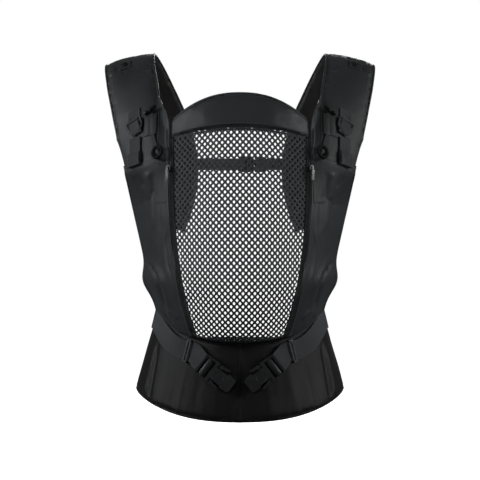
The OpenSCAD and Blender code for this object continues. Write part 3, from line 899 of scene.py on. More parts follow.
def make_headrest(paint):
    v, u = levels(np.linspace(-0.045, 0.995, 25), np.linspace(-0.006, 1.006, 61))
    crown = np.clip((1 - np.abs(2 * u - 1) ** 5) * (1 - np.abs(2 * v - 1) ** 4), 0, 1) ** 0.5
    front = pushed(rest_surface, u, v, 2.2 - 1.6 * crown)
    back = pushed(rest_surface, u, v, 6.6 + (REST_THICK - 8) * crown)
    rest = padded("headrest", front, back, paint["headrest"], 4, 3.5)

    def relief(p):
        facing = smooth(-normals_of(rest.data)[:, 1] * 2)
        return rest_relief(p[:, 0], p[:, 2]) * facing * smooth((p[:, 2] - 534) / 16)

    press(rest, relief)
    settle(rest, None, "body_cloth", "headrest_cover", "headrest_foam", "headrest_lining")
    low, high = (tuple(rest_surface(np.array(0.5), np.array(v)) * MM) for v in (0.0, 0.25))
    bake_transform(rest)

    edges = [("hem", 0.09, -1.0, 1.5, "binding"), ("top_edge", 0.985, 4.4, 3.0, "headrest")]
    for name, v, depth, radius, cloth_name in edges:
        line = resampled(pushed(rest_surface, np.linspace(0.015, 0.985, 90), v, depth), 3)
        edge = settle(tube(f"headrest_{name}", line, radius, paint[cloth_name]), None, "body_cloth")
        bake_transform(edge)


# ---- The zips beside the mesh ----

ZIP_OFFSET, ZIP_LOW, ZIP_HIGH = 5, 172, 525
COIL_PITCH, COIL_WIRE = 1.8, 0.32


def zip_path(offset, lift, spacing=1.0):
    z = np.linspace(ZIP_LOW, ZIP_HIGH, 240)
    x = mesh_edge(z) + ZIP_OFFSET + offset
    out = body_out(x, z)
    path = resampled(body(x, z) + out * lift, spacing)
    return path, body_out(path[:, 0], path[:, 2])


def make_zips(paint):
    """Coil zips: two woven tapes, two rows of coil loops and a lip of cloth on either side."""
    for side, sign in SIDES.items():
        path, out = zip_path(0, 0.75)
        across = unit(np.cross(unit(np.gradient(path, axis=0)), out))
        tape = ribbon(f"zip_tape_{side}", path[::3], across[::3], 9.2, 0.8, paint["zip"], sign)
        settle(tape, "carrier", "zip_tape")
        for row, offset in enumerate((-1.0, 1.0)):
            line, normal = zip_path(offset, 1.5, spacing=COIL_PITCH / 4)
            turn = np.arange(len(line)) * 2 * math.pi / 4 + row * math.pi
            along = unit(np.gradient(line, axis=0))
            wide = np.cross(along, normal) * (np.cos(turn) * 0.85)[:, None]
            coil_line = line + wide + normal * (np.sin(turn) * 0.5)[:, None]
            coil = tube(f"zip_coil_{side}_{row + 1}", coil_line, COIL_WIRE, paint["coil"], sign)
            settle(coil, "carrier", "zip_tape")
        # The inner lip, beside the mesh, takes the near-black zip-tape cloth: partly a black binding,
        # partly painted shade of the groove between the wing and the mesh.
        for name, offset, cloth_name in (("inner", -4.6, "zip"), ("outer", 5.0, "binding")):
            line, _ = zip_path(offset, 0.6, spacing=3)
            lip = tube(f"zip_lip_{name}_{side}", line, 1.35, paint[cloth_name], sign)
            settle(lip, "carrier", "body_cloth")
    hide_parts("zip_tapes")


# ---- The waist belt ----

BELT_HALF, BELT_DEPTH, BELT_THICK, BELT_END = 222, 158, 10.5, 140
SIDE_LEAN, FRONT_LEAN = 0.286, 0.17
BELT_SEEDS = {"r": 32, "l": 31}
REAR_WEB = {"l": 74, "r": 117}


def belt_low(a):
    behind = np.where(a > math.pi / 2, 41.6 * (1 - np.abs(np.sin(a))), 0)
    return 4 + 44 * np.abs(np.sin(a)) ** 2.5 + behind


def belt_high(a):
    front = 151 + 53 * smooth((np.degrees(a) - 12) / 60)
    return np.where(a > math.pi / 2, 204 - 90 * (1 - np.sin(a)), front)


def belt_at(a, z):
    """A point of the belt at an angle from the front, in radians, and a height."""
    return vec((BELT_HALF - SIDE_LEAN * z) * np.sin(a), -(BELT_DEPTH - FRONT_LEAN * z) * np.cos(a), z)


def belt_surface(u, v):
    a = np.radians(lerp(0.15, BELT_END, u))
    return belt_at(a, lerp(belt_low(a), belt_high(a), v))


def belt_out(p):
    return unit(vec(p[..., 0] / 1.9, p[..., 1], np.full(p.shape[:-1], 22.0)))


def web_height(a, rear):
    front = 128 + 56 * smooth((a - 25) / 55)
    return np.where(a < 100, front, 184 + (rear - 184) * smooth((a - 100) / 60))


def belt_relief(p, side):
    """Upright drape folds of the belt, deeper towards its lower edge and shallow under the webbing."""
    seed = BELT_SEEDS[side]
    z = p[:, 2]
    beside = p[:, 0] / (BELT_HALF - SIDE_LEAN * z)
    ahead = -p[:, 1] / (BELT_DEPTH - FRONT_LEAN * z)
    a = np.degrees(np.arctan2(beside, ahead))
    pick = random.Random(seed)
    total = np.zeros(len(p))
    for k in range(19):
        at = 5 + 8.2 * k + pick.uniform(-2, 2)
        lean = pick.uniform(-0.03, 0.03)
        width = pick.uniform(1.3, 3.2)
        height = pick.uniform(0.25, 0.8) * (1 if k % 2 else -1.2)
        fade = smooth((pick.uniform(105, 165) - z) / 70)
        total += height * np.exp(-(((a - at - lean * (z - 80)) / width) ** 2)) * fade
    total += ripples(a * 3.2, z, seed + 5, 60, 0.35)
    above_hem = smooth((z - 38) / 18)
    side_fold = 0.03 * (z - 80)
    ridge = 3.2 * np.exp(-(((a - 61 - side_fold) / 1.9) ** 2))
    groove = 2.4 * np.exp(-(((a - 56.5 - side_fold) / 1.6) ** 2))
    total += ridge * smooth((170 - z) / 50) * above_hem
    total -= groove * smooth((150 - z) / 60) * above_hem
    total -= 1.6 * np.exp(-(((a - 2) / 2.2) ** 2 + ((z - 44) / 12) ** 2))
    near = np.exp(-(((z - web_height(a, REAR_WEB[side])) / 34) ** 2))
    return np.where(total > 0, total * (1 - 0.9 * near), total)


def make_belt(paint):
    for side, sign in SIDES.items():
        v, u = levels(np.linspace(-0.02, 1.02, 33), np.linspace(-0.013, 1.004, 101))
        crown = np.clip(1 - np.abs(2 * v - 1) ** 9, 0, 1) ** 0.5
        front = pushed(belt_surface, u, v, 2.6 - 1.8 * crown)
        back = pushed(belt_surface, u, v, 8.0 + (BELT_THICK - 9) * crown)
        belt = padded(f"belt_{side}", front, back, paint["belt"], 5, 2.2, sign)
        press(belt, lambda p: belt_relief(p, side), sign)
        settle(belt, "carrier", "belt_cloth",
               f"belt_cover_{side}", f"belt_foam_{side}", f"belt_lining_{side}")

        run = np.linspace(0, 0.998, 200)
        edges = [pushed(belt_surface, run, v, -0.2) for v in (0.035, 0.965)]
        edges = [(path, belt_out(path)) for path in edges]
        thread = stitches(f"belt_stitching_{side}", edges, paint["thread"], sign, thick=0.5)
        settle(thread, "carrier", "belt_cloth")
        for name, v in (("lower", 0.01), ("upper", 0.99)):
            path = resampled(pushed(belt_surface, run, v, 4.8), 4)
            binding = tube(f"belt_binding_{name}_{side}", path, 3.2, paint["belt"], sign, out=(0, 0, 1))
            settle(binding, "carrier", "belt_cloth")
    z, a = levels(np.linspace(6, 147, 60), np.linspace(-0.05, 0.05, 13))
    backing = belt_at(a, z) + np.array([0, 6.0, 0])
    strip = cloth_sheet("belt_seam_backing", backing, paint["belt"], thick=1.0)
    settle(strip, "carrier", "belt_cloth")
    declare_sheet(strip, backing)
    line = belt_at(0, np.linspace(48, 149, 60)) + np.array([0, 0.3, 0])
    settle(tube("belt_centre_seam", line, 0.9, paint["belt"]), "carrier", "belt_cloth")


# ---- Waist webbing, its keepers and the waist buckles ----

WAIST_WEB, WEB_THICK, WEB_LIFT = 37, 1.6, 1.2
BUCKLE_CENTRE = np.array([44, -150.5, 90])
BUCKLE_TILT = math.radians(37)
BUCKLE_NOSE = unit([-math.cos(BUCKLE_TILT), -0.13, -math.sin(BUCKLE_TILT)])
BUCKLE_OUT = unit(np.cross(BUCKLE_NOSE, [math.sin(BUCKLE_TILT), 0, -math.cos(BUCKLE_TILT)]))
BUCKLE_ACROSS = np.cross(BUCKLE_OUT, BUCKLE_NOSE)


def in_frame(origin, axes):
    """A function that places local (x, y, z) distances along three axes from an origin."""
    def place(*parts):
        x, y, z = (np.asarray(part, float)[..., None] for part in parts)
        return origin + axes[0] * x + axes[1] * y + axes[2] * z

    return place


in_buckle = in_frame(BUCKLE_CENTRE, (BUCKLE_NOSE, BUCKLE_ACROSS, BUCKLE_OUT))


def web_on_belt(a, rear):
    """The webbing's middle line at angles in degrees; it leaves the belt near the buckle."""
    p = belt_at(np.radians(a), web_height(a, rear))
    raised = 6 * (1 - smooth((a - 38) / 24))
    return p + belt_out(p) * (WEB_LIFT + WEB_THICK / 2 + raised)[..., None]


def make_waist_webbing(paint):
    for side, sign in SIDES.items():
        start = in_buckle([-18, -34], 0, -6.9)
        rest_of_it = web_on_belt(np.linspace(27, 203, 60), REAR_WEB[side])
        path = smooth_path(np.concatenate([start, rest_of_it]), 4)
        out = belt_out(path)
        near = smooth((np.arange(len(path)) - 6) / 8)[:, None]
        out = unit(lerp(np.broadcast_to(BUCKLE_OUT, path.shape), out, near))
        across = np.cross(out, unit(np.gradient(path, axis=0)))
        web = ribbon(f"waist_web_{side}", path, across, WAIST_WEB, WEB_THICK, paint["webbing"], sign)
        settle(web, "carrier", "webbing", f"waist_webbing_{side}")


def moulded(name, material, radius, body_name=None, slot="hardware"):
    """A piece with the CAD node's exact form and softly rounded edges, on the body of its own name."""
    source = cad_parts[name]
    mesh = source.data.copy()
    mesh.materials.clear()
    mesh.materials.append(material)
    piece = bpy.data.objects.new(f"{name}_moulded", mesh)
    bpy.context.collection.objects.link(piece)
    piece.matrix_world = source.matrix_world.copy()
    with edited(mesh) as work:
        bmesh.ops.remove_doubles(work, verts=work.verts, dist=0.01 * MM)
        flat = math.radians(2)
        bmesh.ops.dissolve_limit(work, angle_limit=flat, verts=work.verts, edges=work.edges)
    round_edges(piece, radius, 35)
    mesh.polygons.foreach_set("use_smooth", [True] * len(mesh.polygons))
    normals = piece.modifiers.new("normals", "WEIGHTED_NORMAL")
    normals.keep_sharp = True
    return settle(piece, body_name or name, slot, name)


def buckle_bar(name, outline_points, low, high, material, side, axis="out"):
    """A straight bar on the buckle: an outline drawn from low to high along the third axis."""
    points = []
    for level in (low, high):
        for a, b in outline_points:
            points.append(in_buckle(a, level, b) if axis == "across" else in_buckle(a, b, level))
    count = len(outline_points)
    faces = [(i, (i + 1) % count, count + (i + 1) % count, count + i) for i in range(count)]
    faces += [tuple(range(count))[::-1], tuple(range(count, 2 * count))]
    piece = new_piece(name, points, faces, material, side=side)
    with edited(piece.data) as work:
        bmesh.ops.recalc_face_normals(work, faces=work.faces)
    round_edges(piece, 0.5)
    return piece


def make_waist_hardware(paint):
    for side, sign in SIDES.items():
        buckle = f"waist_buckle_{side}"
        moulded(buckle, paint["plastic"], 0.9)
        for which in ("upper", "lower"):
            moulded(f"squeeze_arm_{which}_{side}", paint["plastic"], 0.6)
        moulded(f"webbing_keeper_{side}", paint["plastic"], 0.7)
        turn = np.linspace(0, math.pi, 11)
        hump = [(-23 + 8.2 * math.cos(t), -1.5 + 5.2 * math.sin(t)) for t in turn]
        hump += [(-31.2, -3.5), (-14.8, -3.5)]
        roller = buckle_bar(f"buckle_roller_{side}", hump, -17.2, 17.2, paint["coil"], sign, "across")
        settle(roller, buckle, "hardware")
        for rib, y in enumerate((-8.5, -4.2, 0, 4.2, 8.5)):
            tip, low, high = 33.2 - abs(y) * 0.25, y - 0.7, y + 0.7
            shape = [(21, low), (tip, low), (tip, high), (21, high)]
            bar = buckle_bar(f"buckle_rib_{side}_{rib + 1}", shape, 3.8, 5.1, paint["plastic"], sign)
            settle(bar, buckle, "hardware")


# ---- Shoulder straps ----

STRAP_LINE = [
    [188, -146, 470], [192, -115, 545], [200, -84, 600], [212, -44, 655], [219, 2, 697],
    [208, 56, 688], [180, 96, 640], [146, 116, 565], [132, 122, 490], [140, 118, 425],
    [158, 108, 368],
]
STRAP_ACROSS = [
    [0.75, 0.62, -0.12], [0.82, 0.48, -0.18], [0.92, 0.26, -0.22], [0.97, 0.12, -0.22],
    [0.975, 0, -0.22], [0.95, -0.10, -0.30], [0.94, -0.12, -0.32], [0.97, -0.10, -0.22],
    [1, -0.08, 0.02], [0.97, -0.10, 0.22], [0.86, -0.20, 0.45],
]
STRAP_WIDTH, STRAP_BACK_WIDTH, STRAP_THICK = 100, 88, 14
COVER = 1.5


def strap_frame(v):
    """Point, right, up and out of the strap's middle line."""
    v = np.asarray(v, float)
    h = 0.001
    up = unit(through(STRAP_LINE, v + h) - through(STRAP_LINE, v - h))
    across = through(STRAP_ACROSS, v)
    right = unit(across - up * dot(up, across)[..., None])
    return through(STRAP_LINE, v), right, up, np.cross(right, up)


def strap_point(v, across, out):
    point, right, up, normal = strap_frame(v)
    return in_frame(point, (right, up, normal))(across, 0, out)


def strap_half(v):
    return lerp(STRAP_WIDTH, STRAP_BACK_WIDTH, smooth((v - 0.35) / 0.4)) / 2


def strap_outer(v):
    """The outer edge draws in towards the front seam."""
    return strap_half(v) - 20 * np.clip(1 - np.asarray(v) / 0.1, 0, 1)


def puff(u, peak):
    return 0.6 + peak * (1 - np.abs(2 * u - 1) ** 3)


def face_at(v, across):
    """Height of the strap's cover above its middle line."""
    return puff((across + strap_half(v)) / (strap_half(v) + strap_outer(v)), STRAP_THICK * 0.45) + COVER


STRAP_RUN = np.linspace(0, 1, 500)
STRAP_LENGTH = lengths(strap_frame(STRAP_RUN)[0])


def strap_coords(p):
    """Nearest place on the strap's middle line, and the distances across and out from it."""
    middle, right, _, out = strap_frame(STRAP_RUN)
    nearest = np.empty(len(p), int)
    for part in range(0, len(p), 4000):
        away = np.linalg.norm(p[part:part + 4000, None] - middle[None], axis=2)
        nearest[part:part + 4000] = away.argmin(axis=1)
    offset = p - middle[nearest]
    return STRAP_RUN[nearest], dot(offset, right[nearest]), dot(offset, out[nearest])


# The press stud's place: along the strap, and across it in millimetres
STUD_AT = (0.35, 8)


def strap_relief(v, across, seed):
    """Height of the strap's folds; distances along are in millimetres from its front seam."""
    along = np.interp(v, STRAP_RUN, STRAP_LENGTH)
    total = ripples(along, across, seed, 75, 0.5)
    stud = np.interp(STUD_AT[0], STRAP_RUN, STRAP_LENGTH)
    total -= 3.0 * np.exp(-(((along - stud) / 17) ** 2 + ((across - STUD_AT[1]) / 20) ** 2))
    for end in [(-34, -38), (-46, 18), (-20, 44), (30, 42), (38, -20)]:
        start = (stud + end[0] * 0.3, STUD_AT[1] + (end[1] - STUD_AT[1]) * 0.3)
        total += crease(along, across, [start, (stud + end[0], end[1])], 5, -1.3)
    for at in np.arange(20, 700, 23):
        for edge in (-1, 1):
            tip = edge * (strap_half(0.3) - 2)
            shift = 6 * math.sin(at)
            total += crease(along, across, [(at, tip), (at + shift, tip * 0.66)], 3.6, -0.45)
    half = strap_half(v)
    total -= 0.9 * np.exp(-(((np.abs(across) - half + 6) / 1.6) ** 2))
    return total


STRAP_SEEDS = {"r": 41, "l": 42}


def make_straps(paint):
    for side, sign in SIDES.items():
        v, u = levels(np.linspace(0.004, 0.996, 161), np.linspace(0, 1, 25))
        across = lerp(-strap_half(v) - 0.6, strap_outer(v) + 0.6, u)
        front = strap_point(v, across, np.maximum(2.6, puff(u, STRAP_THICK * 0.45) + 0.6))
        back = strap_point(v, across, -np.maximum(2.6, puff(u, STRAP_THICK * 0.3) + 0.9))
        strap = padded(f"shoulder_strap_{side}", front, back, paint["strap"], 4.5, 2.5, sign)
        strap.data.materials.append(paint["lining"])

        mirror = np.array([sign, 1, 1])
        local = coords_of(strap.data) / MM * mirror
        where, beside, height = strap_coords(local)
        relief = strap_relief(where, beside, STRAP_SEEDS[side]) * smooth(height / 2)
        local = local + normals_of(strap.data) * mirror * relief[:, None]
        where, beside, height = strap_coords(local)
        over = np.maximum(0, height - face_at(where, beside))
        local -= strap_frame(where)[3] * over[:, None]
        set_coords(strap.data, local * MM * mirror)
        for polygon in strap.data.polygons:
            corners = list(polygon.vertices)
            inside = np.abs(beside[corners]).mean() < strap_half(where[corners]).mean() - 9
            if height[corners].mean() < -1.2 and inside:
                polygon.material_index = 1
        settle(strap, "carrier", "strap_cloth",
               f"strap_cover_{side}", f"strap_foam_{side}", f"strap_lining_{side}")

        run = np.linspace(0.006, 0.994, 400)
        seams = []
        for name, edge, half in (("inner", -1, strap_half(run)), ("outer", 1, strap_outer(run))):
            rim = resampled(strap_point(run, edge * (half - 1.8), 0), 4)
            binding = tube(f"strap_binding_{name}_{side}", rim, 2.6, paint["strap"], sign,
                           out=(0.3, -0.2, 1))
            settle(binding, "carrier", "strap_cloth")
            inset = edge * (half - 6)
            seams.append((strap_point(run, inset, face_at(run, inset) - 0.9), strap_frame(run)[3]))
        thread = stitches(f"strap_stitching_{side}", seams, paint["thread"], sign)
        settle(thread, "carrier", "strap_cloth")


YOKE_INNER = [
    (125.5, 470), (125.5, 500), (130.5, 516), (131, 545), (133, 562), (139, 580), (148, 598),
]
YOKE_TOP = 0.2
ROOT_START, ROOT_LOW = 0.007, 408


def make_yokes(paint):
    """Cloth between the headrest and the strap's inner edge, which it is sewn to."""
    for side, sign in SIDES.items():
        rows, columns = 61, 21
        t = np.linspace(0, 1, rows)
        inner, _ = on_body(YOKE_INNER, 0.8)
        spot = np.linspace(0, 1, len(inner))
        inner = np.stack([np.interp(t, spot, inner[:, k]) for k in range(3)], axis=1)
        v = lerp(0.004, YOKE_TOP, t)
        outer = strap_point(v, -(strap_half(v) - 1.5), 2.4)
        out = unit(body_out(inner[:, 0], inner[:, 2]) + strap_frame(v)[3])
        u = np.linspace(0, 1, columns)
        across = u[None, :, None]
        sag = 2.2 * np.sin(math.pi * u)[None] * (0.3 + t[:, None])
        sag = sag - 1.5 * np.exp(-(((u - 0.25) / 0.1) ** 2))[None]
        points = inner[:, None] * (1 - across) + outer[:, None] * across - out[:, None] * sag[..., None]
        yoke = cloth_sheet(f"yoke_{side}", points, paint["wing"], sign, 1.3)
        settle(yoke, "carrier", "body_cloth", f"shoulder_yoke_{side}")
        declare_sheet(yoke, points)
        piping = tube(f"yoke_piping_{side}", resampled(points[:, 0], 3), 1.2, paint["binding"], sign)
        settle(piping, "carrier", "body_cloth")


ROOT_FOLDS = [
    ([(172, 468), (168, 440), (165, 408)], 6, 2.0),
    ([(161, 466), (158, 440), (156, 408)], 5, -1.2),
    ([(196, 462), (184, 446), (176, 440)], 5, -1.0),
]


def make_strap_roots(paint):
    """Cloth that wraps each strap's lower end and runs down into the wing."""
    for side, sign in SIDES.items():
        rows, bridge, face = 41, 14, 41
        v = np.full(face, ROOT_START)
        ends = -strap_half(ROOT_START) - 0.5, strap_outer(ROOT_START) + 1
        across = lerp(*ends, np.linspace(0, 1, face))
        _, _, up, out = strap_frame(v)
        top = strap_point(v, across, np.maximum(2.4, face_at(v, across)) + 0.5)
        inner, inner_out = on_body([(129.5, 478), (129.5, 479)], 2.2)
        t = np.linspace(0, 1, bridge, endpoint=False)[:, None]
        top = np.concatenate([lerp(inner[:1], top[:1], t), top])
        out = np.concatenate([lerp(inner_out[:1], out[:1], t), out])
        up = np.concatenate([lerp(np.array([[0, 0.1, 1.0]]), up[:1], t), up])
        x = lerp(135, outline(ROOT_LOW) - 0.5, np.linspace(0, 1, bridge + face))
        low = body(x, ROOT_LOW) - body_out(x, ROOT_LOW) * 0.5
        down = unit(body(x, ROOT_LOW - 4) - body(x, ROOT_LOW))
        t = np.linspace(0, 1, rows)[:, None, None]
        points = (
            top * (2 * t ** 3 - 3 * t ** 2 + 1) - up * 34 * (t ** 3 - 2 * t ** 2 + t)
            + low * (3 * t ** 2 - 2 * t ** 3) + down * 40 * (t ** 3 - t ** 2)
        )
        relief = creases(points[..., 0], points[..., 2], ROOT_FOLDS)
        points = points + out * (relief * smooth(t[..., 0] * 5) * smooth((1 - t[..., 0]) * 5))[..., None]
        root = cloth_sheet(f"strap_root_{side}", points, paint["wing"], sign, 0.8)
        settle(root, "carrier", "body_cloth")
        declare_sheet(root, points)
        seams = [(points[row, bridge:], out[bridge:]) for row in (1, 4)]
        thread = stitches(f"strap_root_stitching_{side}", seams, paint["thread"], sign)
        settle(thread, "carrier", "body_cloth")
        edge = resampled(points[:, -1], 3)
        binding = tube(f"strap_root_edge_{side}", edge, 1.6, paint["binding"], sign)
        settle(binding, "carrier", "body_cloth")


# ---- What is sewn or clipped to a strap ----


PATCH_GAP = 0.2


def strap_patch(name, v_from, v_to, inner, outer, thick, material, side, relief=None):
    """A patch of cloth or webbing that follows the strap's face."""
    columns = max(6, int((outer - inner) / 1.5))
    rows = max(8, int((v_to - v_from) * STRAP_LENGTH[-1] / 2))
    v, across = levels(np.linspace(v_from, v_to, rows + 1), np.linspace(inner, outer, columns + 1))
    height = face_at(v, across) + PATCH_GAP + thick
    if relief is not None:
        height = height + relief(v, across)
    points = strap_point(v, across, height)
    return cloth_sheet(name, points, material, side, thick), points


def strap_seam(v_points, across_points, lift, count=60):
    """A path on the strap's face through corner points, with its outward normals."""
    at = np.linspace(0, 1, count)
    corners = np.linspace(0, 1, len(v_points))
    v = np.interp(at, corners, v_points)
    across = np.interp(at, corners, across_points)
    return strap_point(v, across, face_at(v, across) + lift), strap_frame(v)[3]


def box_seams(v_from, v_to, inner, outer, lift, cross=False):
    """Stitching round a rectangle on the strap, with a cross in it if asked."""
    seams = [
        strap_seam([v_from, v_from], [inner, outer], lift),
        strap_seam([v_from, v_to], [outer, outer], lift),
        strap_seam([v_to, v_to], [outer, inner], lift),
        strap_seam([v_to, v_from], [inner, inner], lift),
    ]
    if cross:
        seams += [strap_seam([v_from, v_to], [inner, outer], lift),
                  strap_seam([v_from, v_to], [outer, inner], lift)]
    return seams


def at_strap(v, across, height, turn=0.0):
    """A function that places local (right, up, out) distances at a spot on the strap, and its axes."""
    point, right, up, out = strap_frame(v)
    angle = math.radians(turn)
    axes = (right * math.cos(angle) + up * math.sin(angle),
            up * math.cos(angle) - right * math.sin(angle), out)
    return in_frame(point + right * across + out * height, axes), axes


# Places on the strap: along it, then millimetres across and out, and the turn in degrees
ADJUSTER = (0.108, -1, 12.5, -12)
TAIL = (0.055, -1, 13.2, 0)
TOGGLE = (0.14, -35, 12.4, -20)
RING = (0.02, -54, 8.6, -30)


def make_adjuster(paint, side, sign):
    """Anchor webbing round the ladder lock's bar, and the lock itself."""
    woven, lock = paint["webbing"], f"strap_adjuster_{side}"
    place, (right, _, _) = at_strap(*ADJUSTER)
    anchor, _ = strap_patch(f"anchor_patch_{side}", 0.137, 0.167, -13, 14, WEB_THICK, woven, sign)
    settle(anchor, "carrier", "webbing")
    v, across = np.linspace(0.143, 0.137, 3), np.full(3, 0.5)
    start = strap_point(v, across, face_at(v, across) + 1.2)
    turn = np.radians([-70, -20, 30, 80, 130])
    wrap = place(0, 12 + 3.1 * np.cos(turn + 1.2), 3.1 * np.sin(turn + 1.2))
    path = smooth_path(np.concatenate([start, wrap[::-1]]), 1.5, 80)
    loop = ribbon(f"anchor_loop_{side}", path, right, 24, 1.3, woven, sign)
    settle(loop, "carrier", "webbing")
    seams = box_seams(0.14, 0.165, -11.5, 12.5, 2.0, cross=True)
    thread = stitches(f"anchor_stitching_{side}", seams, paint["thread"], sign, thick=0.6)
    settle(thread, "carrier", "webbing")
    moulded(lock, paint["plastic"], 0.7)
    y = np.linspace(6, -20, 16)
    path = place(0, y, 2.7 - 3.1 * smooth((y + 12) / -8))
    feed = ribbon(f"adjuster_feed_{side}", path, right, 22, 1.3, woven, sign)
    settle(feed, lock, "webbing")
    make_tail(paint, side, sign)
    return anchor


FOLD_LEVELS = [-2.2, -0.2, 1.8, 3.8]
FOLD_TOP, FOLD_FOOT = -17.4, -41.6


def make_tail(paint, side, sign):
    """The webbing's end below the adjuster, folded to and fro into a block and sewn."""
    tail, woven = f"adjuster_tail_{side}", paint["webbing"]
    place, (right, _, out) = at_strap(*TAIL)
    y = np.linspace(16, -18, 20)
    path = place(0, y, -1 + 0.6 * np.sin((y - 16) / 34 * math.pi))
    web = ribbon(f"tail_webbing_{side}", path, right, 26, WEB_THICK, woven, sign)
    settle(web, tail, "webbing", tail)
    fold = []
    for layer, level in enumerate(FOLD_LEVELS):
        start, end = (FOLD_TOP, FOLD_FOOT) if layer % 2 == 0 else (FOLD_FOOT, FOLD_TOP)
        fold += [(start, level), (lerp(start, end, 0.5), level + 0.15), (end, level)]
        if layer + 1 < len(FOLD_LEVELS):
            fold.append((end + (1.1 if end == FOLD_TOP else -1.1), level + 1.0))
    fold = np.array(fold)
    path = smooth_path(place(0, fold[:, 0], fold[:, 1]), 1.2, 240)
    block = ribbon(f"tail_fold_{side}", path, right, 28, 1.5, woven, sign)
    settle(block, tail, "webbing")
    corners = np.array([(-11.5, -19.5), (11.5, -19.5), (11.5, -39.5), (-11.5, -39.5)])
    seams = []
    for a, b in zip(corners, np.roll(corners, -1, axis=0)):
        line = lerp(a, b, np.linspace(0, 1, 20)[:, None])
        seams.append((place(line[:, 0], line[:, 1], 4.6), out))
    thread = stitches(f"tail_stitching_{side}", seams, paint["thread"], sign, thick=0.6)
    settle(thread, tail, "webbing")


def make_toggle(paint, side, sign):
    """Glossy toggle bar in a loop of elastic that turns with it, and the patch it is sewn to."""
    toggle = f"toggle_bar_{side}"
    moulded(toggle, paint["gloss"], 0.3, slot="toggle")
    place, (right, _, _) = at_strap(*TOGGLE)
    turn = np.linspace(0, 2 * math.pi, 24)
    ring = place(0, 4.3 * np.cos(turn), 4.3 * np.sin(turn))
    loop = ribbon(f"toggle_elastic_{side}", ring, right, 4, 0.7, paint["zip"], sign)
    settle(loop, toggle, "webbing")
    patch, _ = strap_patch(f"toggle_patch_{side}", 0.126, 0.139, -40, -31, 1.0, paint["tape"], sign)
    return settle(patch, "carrier", "webbing")


def make_guide(paint, side, sign):
    """Guide panel with two stitched channels, and the narrow tape that runs down to the ring."""
    low, high, inner, outer = 0.07, 0.128, -47, -20

    def channels(v, across):
        wave = np.abs(np.sin((across - inner) / (outer - inner) * 2 * math.pi)) ** 0.7
        return 0.9 * wave * smooth((high - v) / 0.018)

    panel, points = strap_patch(f"guide_panel_{side}", low, high, inner, outer, 0.8,
                                paint["patch"], sign, channels)
    settle(panel, "carrier", "strap_cloth")
    declare_sheet(panel, points)
    seams = box_seams(0.0715, 0.1265, -45.8, -21.2, 1.2)
    seams.append(strap_seam([0.0715, 0.1265], [-33.5, -33.5], 1.2))
    settle(stitches(f"guide_stitching_{side}", seams, paint["thread"], sign), "carrier", "strap_cloth")
    v = np.linspace(low, 0.037, 24)
    across = np.linspace(-38, -46, 24)
    path = strap_point(v, across, face_at(v, across) + 0.8)
    tape = ribbon(f"guide_tape_{side}", path, strap_frame(v)[1], 8, 0.9, paint["tape"], sign)
    settle(tape, "carrier", "webbing")
    return panel


def make_ring(paint, side, sign):
    """Ring button on a short slanted tape."""
    moulded(f"ring_button_{side}", paint["ring"], 0.3)
    place, (across, _, _) = at_strap(*RING)
    y = np.linspace(-6.5, 6.5, 14)
    tape = ribbon(f"ring_tape_{side}", place(0, y, 0.4 - 0.05 * y ** 2), across, 5, 1.4,
                  paint["webbing"], sign)
    return settle(tape, "carrier", "webbing")


def make_stud(paint, side, sign):
    """The square reinforcing patch under the press stud."""
    patch, points = strap_patch(f"stud_patch_{side}", 0.333, 0.367, -4, 21, 0.9, paint["patch"], sign)
    settle(patch, "carrier", "strap_cloth")
    declare_sheet(patch, points)
    seams = box_seams(0.3345, 0.3655, -2.6, 19.6, 1.1)
    settle(stitches(f"stud_stitching_{side}", seams, paint["thread"], sign), "carrier", "strap_cloth")
    return patch


ARM_LINE = [
    [164.3, 107.2, 349.9], [172, 90, 333], [183, 52, 321], [189, 8, 317],
    [190, -38, 320], [184.7, -79.8, 327], [179.2, -95.6, 328], [173.1, -107.9, 328],
]
WING_RISE = np.array([0.22, 0, 1.0])


def make_arm_webbing(paint, side, sign):
    """Webbing under the arm: up through the adjuster at the strap's back end, then round to the wing."""
    place, (right, _, _) = at_strap(0.998, 0, 0)
    threaded = place(0, [4.6, 5.4, 8.0], [-1.6, 2.2, 3.1])
    path = smooth_path(np.concatenate([threaded, ARM_LINE]), 2.5)
    along = unit(np.gradient(path, axis=0))
    wide = lerp(right, WING_RISE, smooth(lengths(path) / lengths(path)[-1] * 2)[:, None])
    across = unit(wide - along * dot(wide, along)[:, None])
    web = ribbon(f"arm_web_{side}", path, across, 25, WEB_THICK, paint["webbing"], sign)
    out = np.cross(across, along)
    first, last, half, lift = -14, -6, 10, 1.1
    seams = []
    for row, edge in ((last, 1), (first, -1)):
        line = path[row] + across[row] * np.linspace(-half, half, 12)[:, None] * edge
        seams.append((line + out[row] * lift, out[row]))
        rows = slice(first, last + 1)
        seams.append((path[rows] + across[rows] * half * edge + out[rows] * lift, out[rows]))
    thread = stitches(f"arm_stitching_{side}", seams, paint["thread"], sign, thick=0.6)
    settle(thread, "carrier", "webbing")
    return settle(web, "carrier", "webbing")


def make_strap_details(paint):
    groups = {"adjuster_anchors": make_adjuster, "toggle_loops": make_toggle, "guide_panels": make_guide,
              "ring_tapes": make_ring, "stud_patches": make_stud, "arm_webbings": make_arm_webbing}
    for node, make in groups.items():
        pieces = [make(paint, side, sign) for side, sign in SIDES.items()]
        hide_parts(node)
    moulded("press_studs", paint["gloss"], 0.4, "carrier")
    moulded("arm_adjusters", paint["plastic"], 0.5, "carrier")


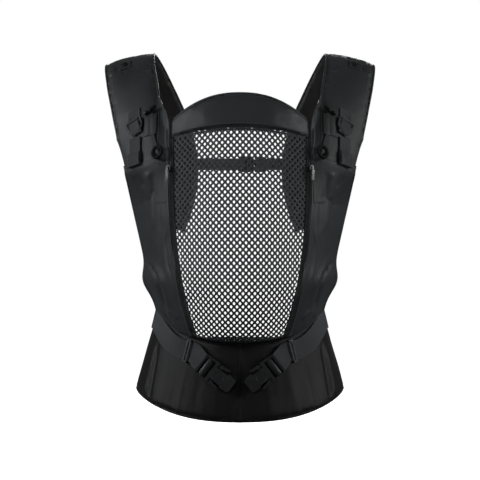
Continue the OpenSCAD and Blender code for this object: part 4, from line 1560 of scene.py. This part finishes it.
# ---- Chest strap behind the wearer ----

CHEST_X, CHEST_Y, CHEST_Z, CHEST_WEB = 133, 136, 500, 25


def make_chest_strap(paint):
    moulded("chest_sliders", paint["plastic"], 0.6, "chest_strap")
    moulded("chest_socket", paint["plastic"], 0.8, "chest_strap")
    moulded("chest_plug", paint["plastic"], 0.7)
    for which in ("upper", "lower"):
        moulded(f"chest_prong_{which}", paint["plastic"], 0.4)
    slider_edge = CHEST_X - 15.2
    halves = [("left", -slider_edge, 8.0, "chest_strap"), ("right", 35.0, slider_edge, "chest_plug")]
    for name, start, end, body_name in halves:
        path = vec(np.linspace(start, end, 30), CHEST_Y, CHEST_Z)
        web = ribbon(f"chest_web_{name}", path, (0, 0, 1), CHEST_WEB, WEB_THICK, paint["webbing"])
        settle(web, body_name, "webbing")
    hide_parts("chest_webbing")
    for side, sign in SIDES.items():
        runner, _ = strap_patch(f"chest_runner_{side}", 0.73, 0.87, -6, 6, 1.0, paint["tape"], sign)
        settle(runner, "carrier", "webbing")
    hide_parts("chest_runners")


def make_borders(paint):
    """Hems round the mesh window: the belt seam below and the headrest seam above."""
    k = np.linspace(-1, 1, 25)
    low = [(x * 79.5, PANEL_LOW + 3 + 8 * x * x) for x in k]
    top = [(x * 120, PANEL_TOP - 3 - 14 * x * x) for x in k]
    for name, line, half in (("low", low, 2.4), ("top", top, 2.0)):
        settle(band(f"mesh_hem_{name}", line, half, paint["wing"]), "carrier", "body_cloth")


def make_zip_hardware(paint):
    for side in SIDES:
        moulded(f"zip_slider_{side}", paint["gloss"], 0.4)
        moulded(f"zip_pull_{side}", paint["gloss"], 0.4)


make_camera()
make_light_and_floor()
paint = make_materials()
make_mesh_window(paint["mesh"])
make_borders(paint)
make_wings(paint)
make_hip_pads(paint)
make_headrest(paint)
make_zips(paint)
make_zip_hardware(paint)
make_belt(paint)
make_waist_webbing(paint)
make_waist_hardware(paint)
make_straps(paint)
make_yokes(paint)
make_strap_roots(paint)
make_strap_details(paint)
make_chest_strap(paint)
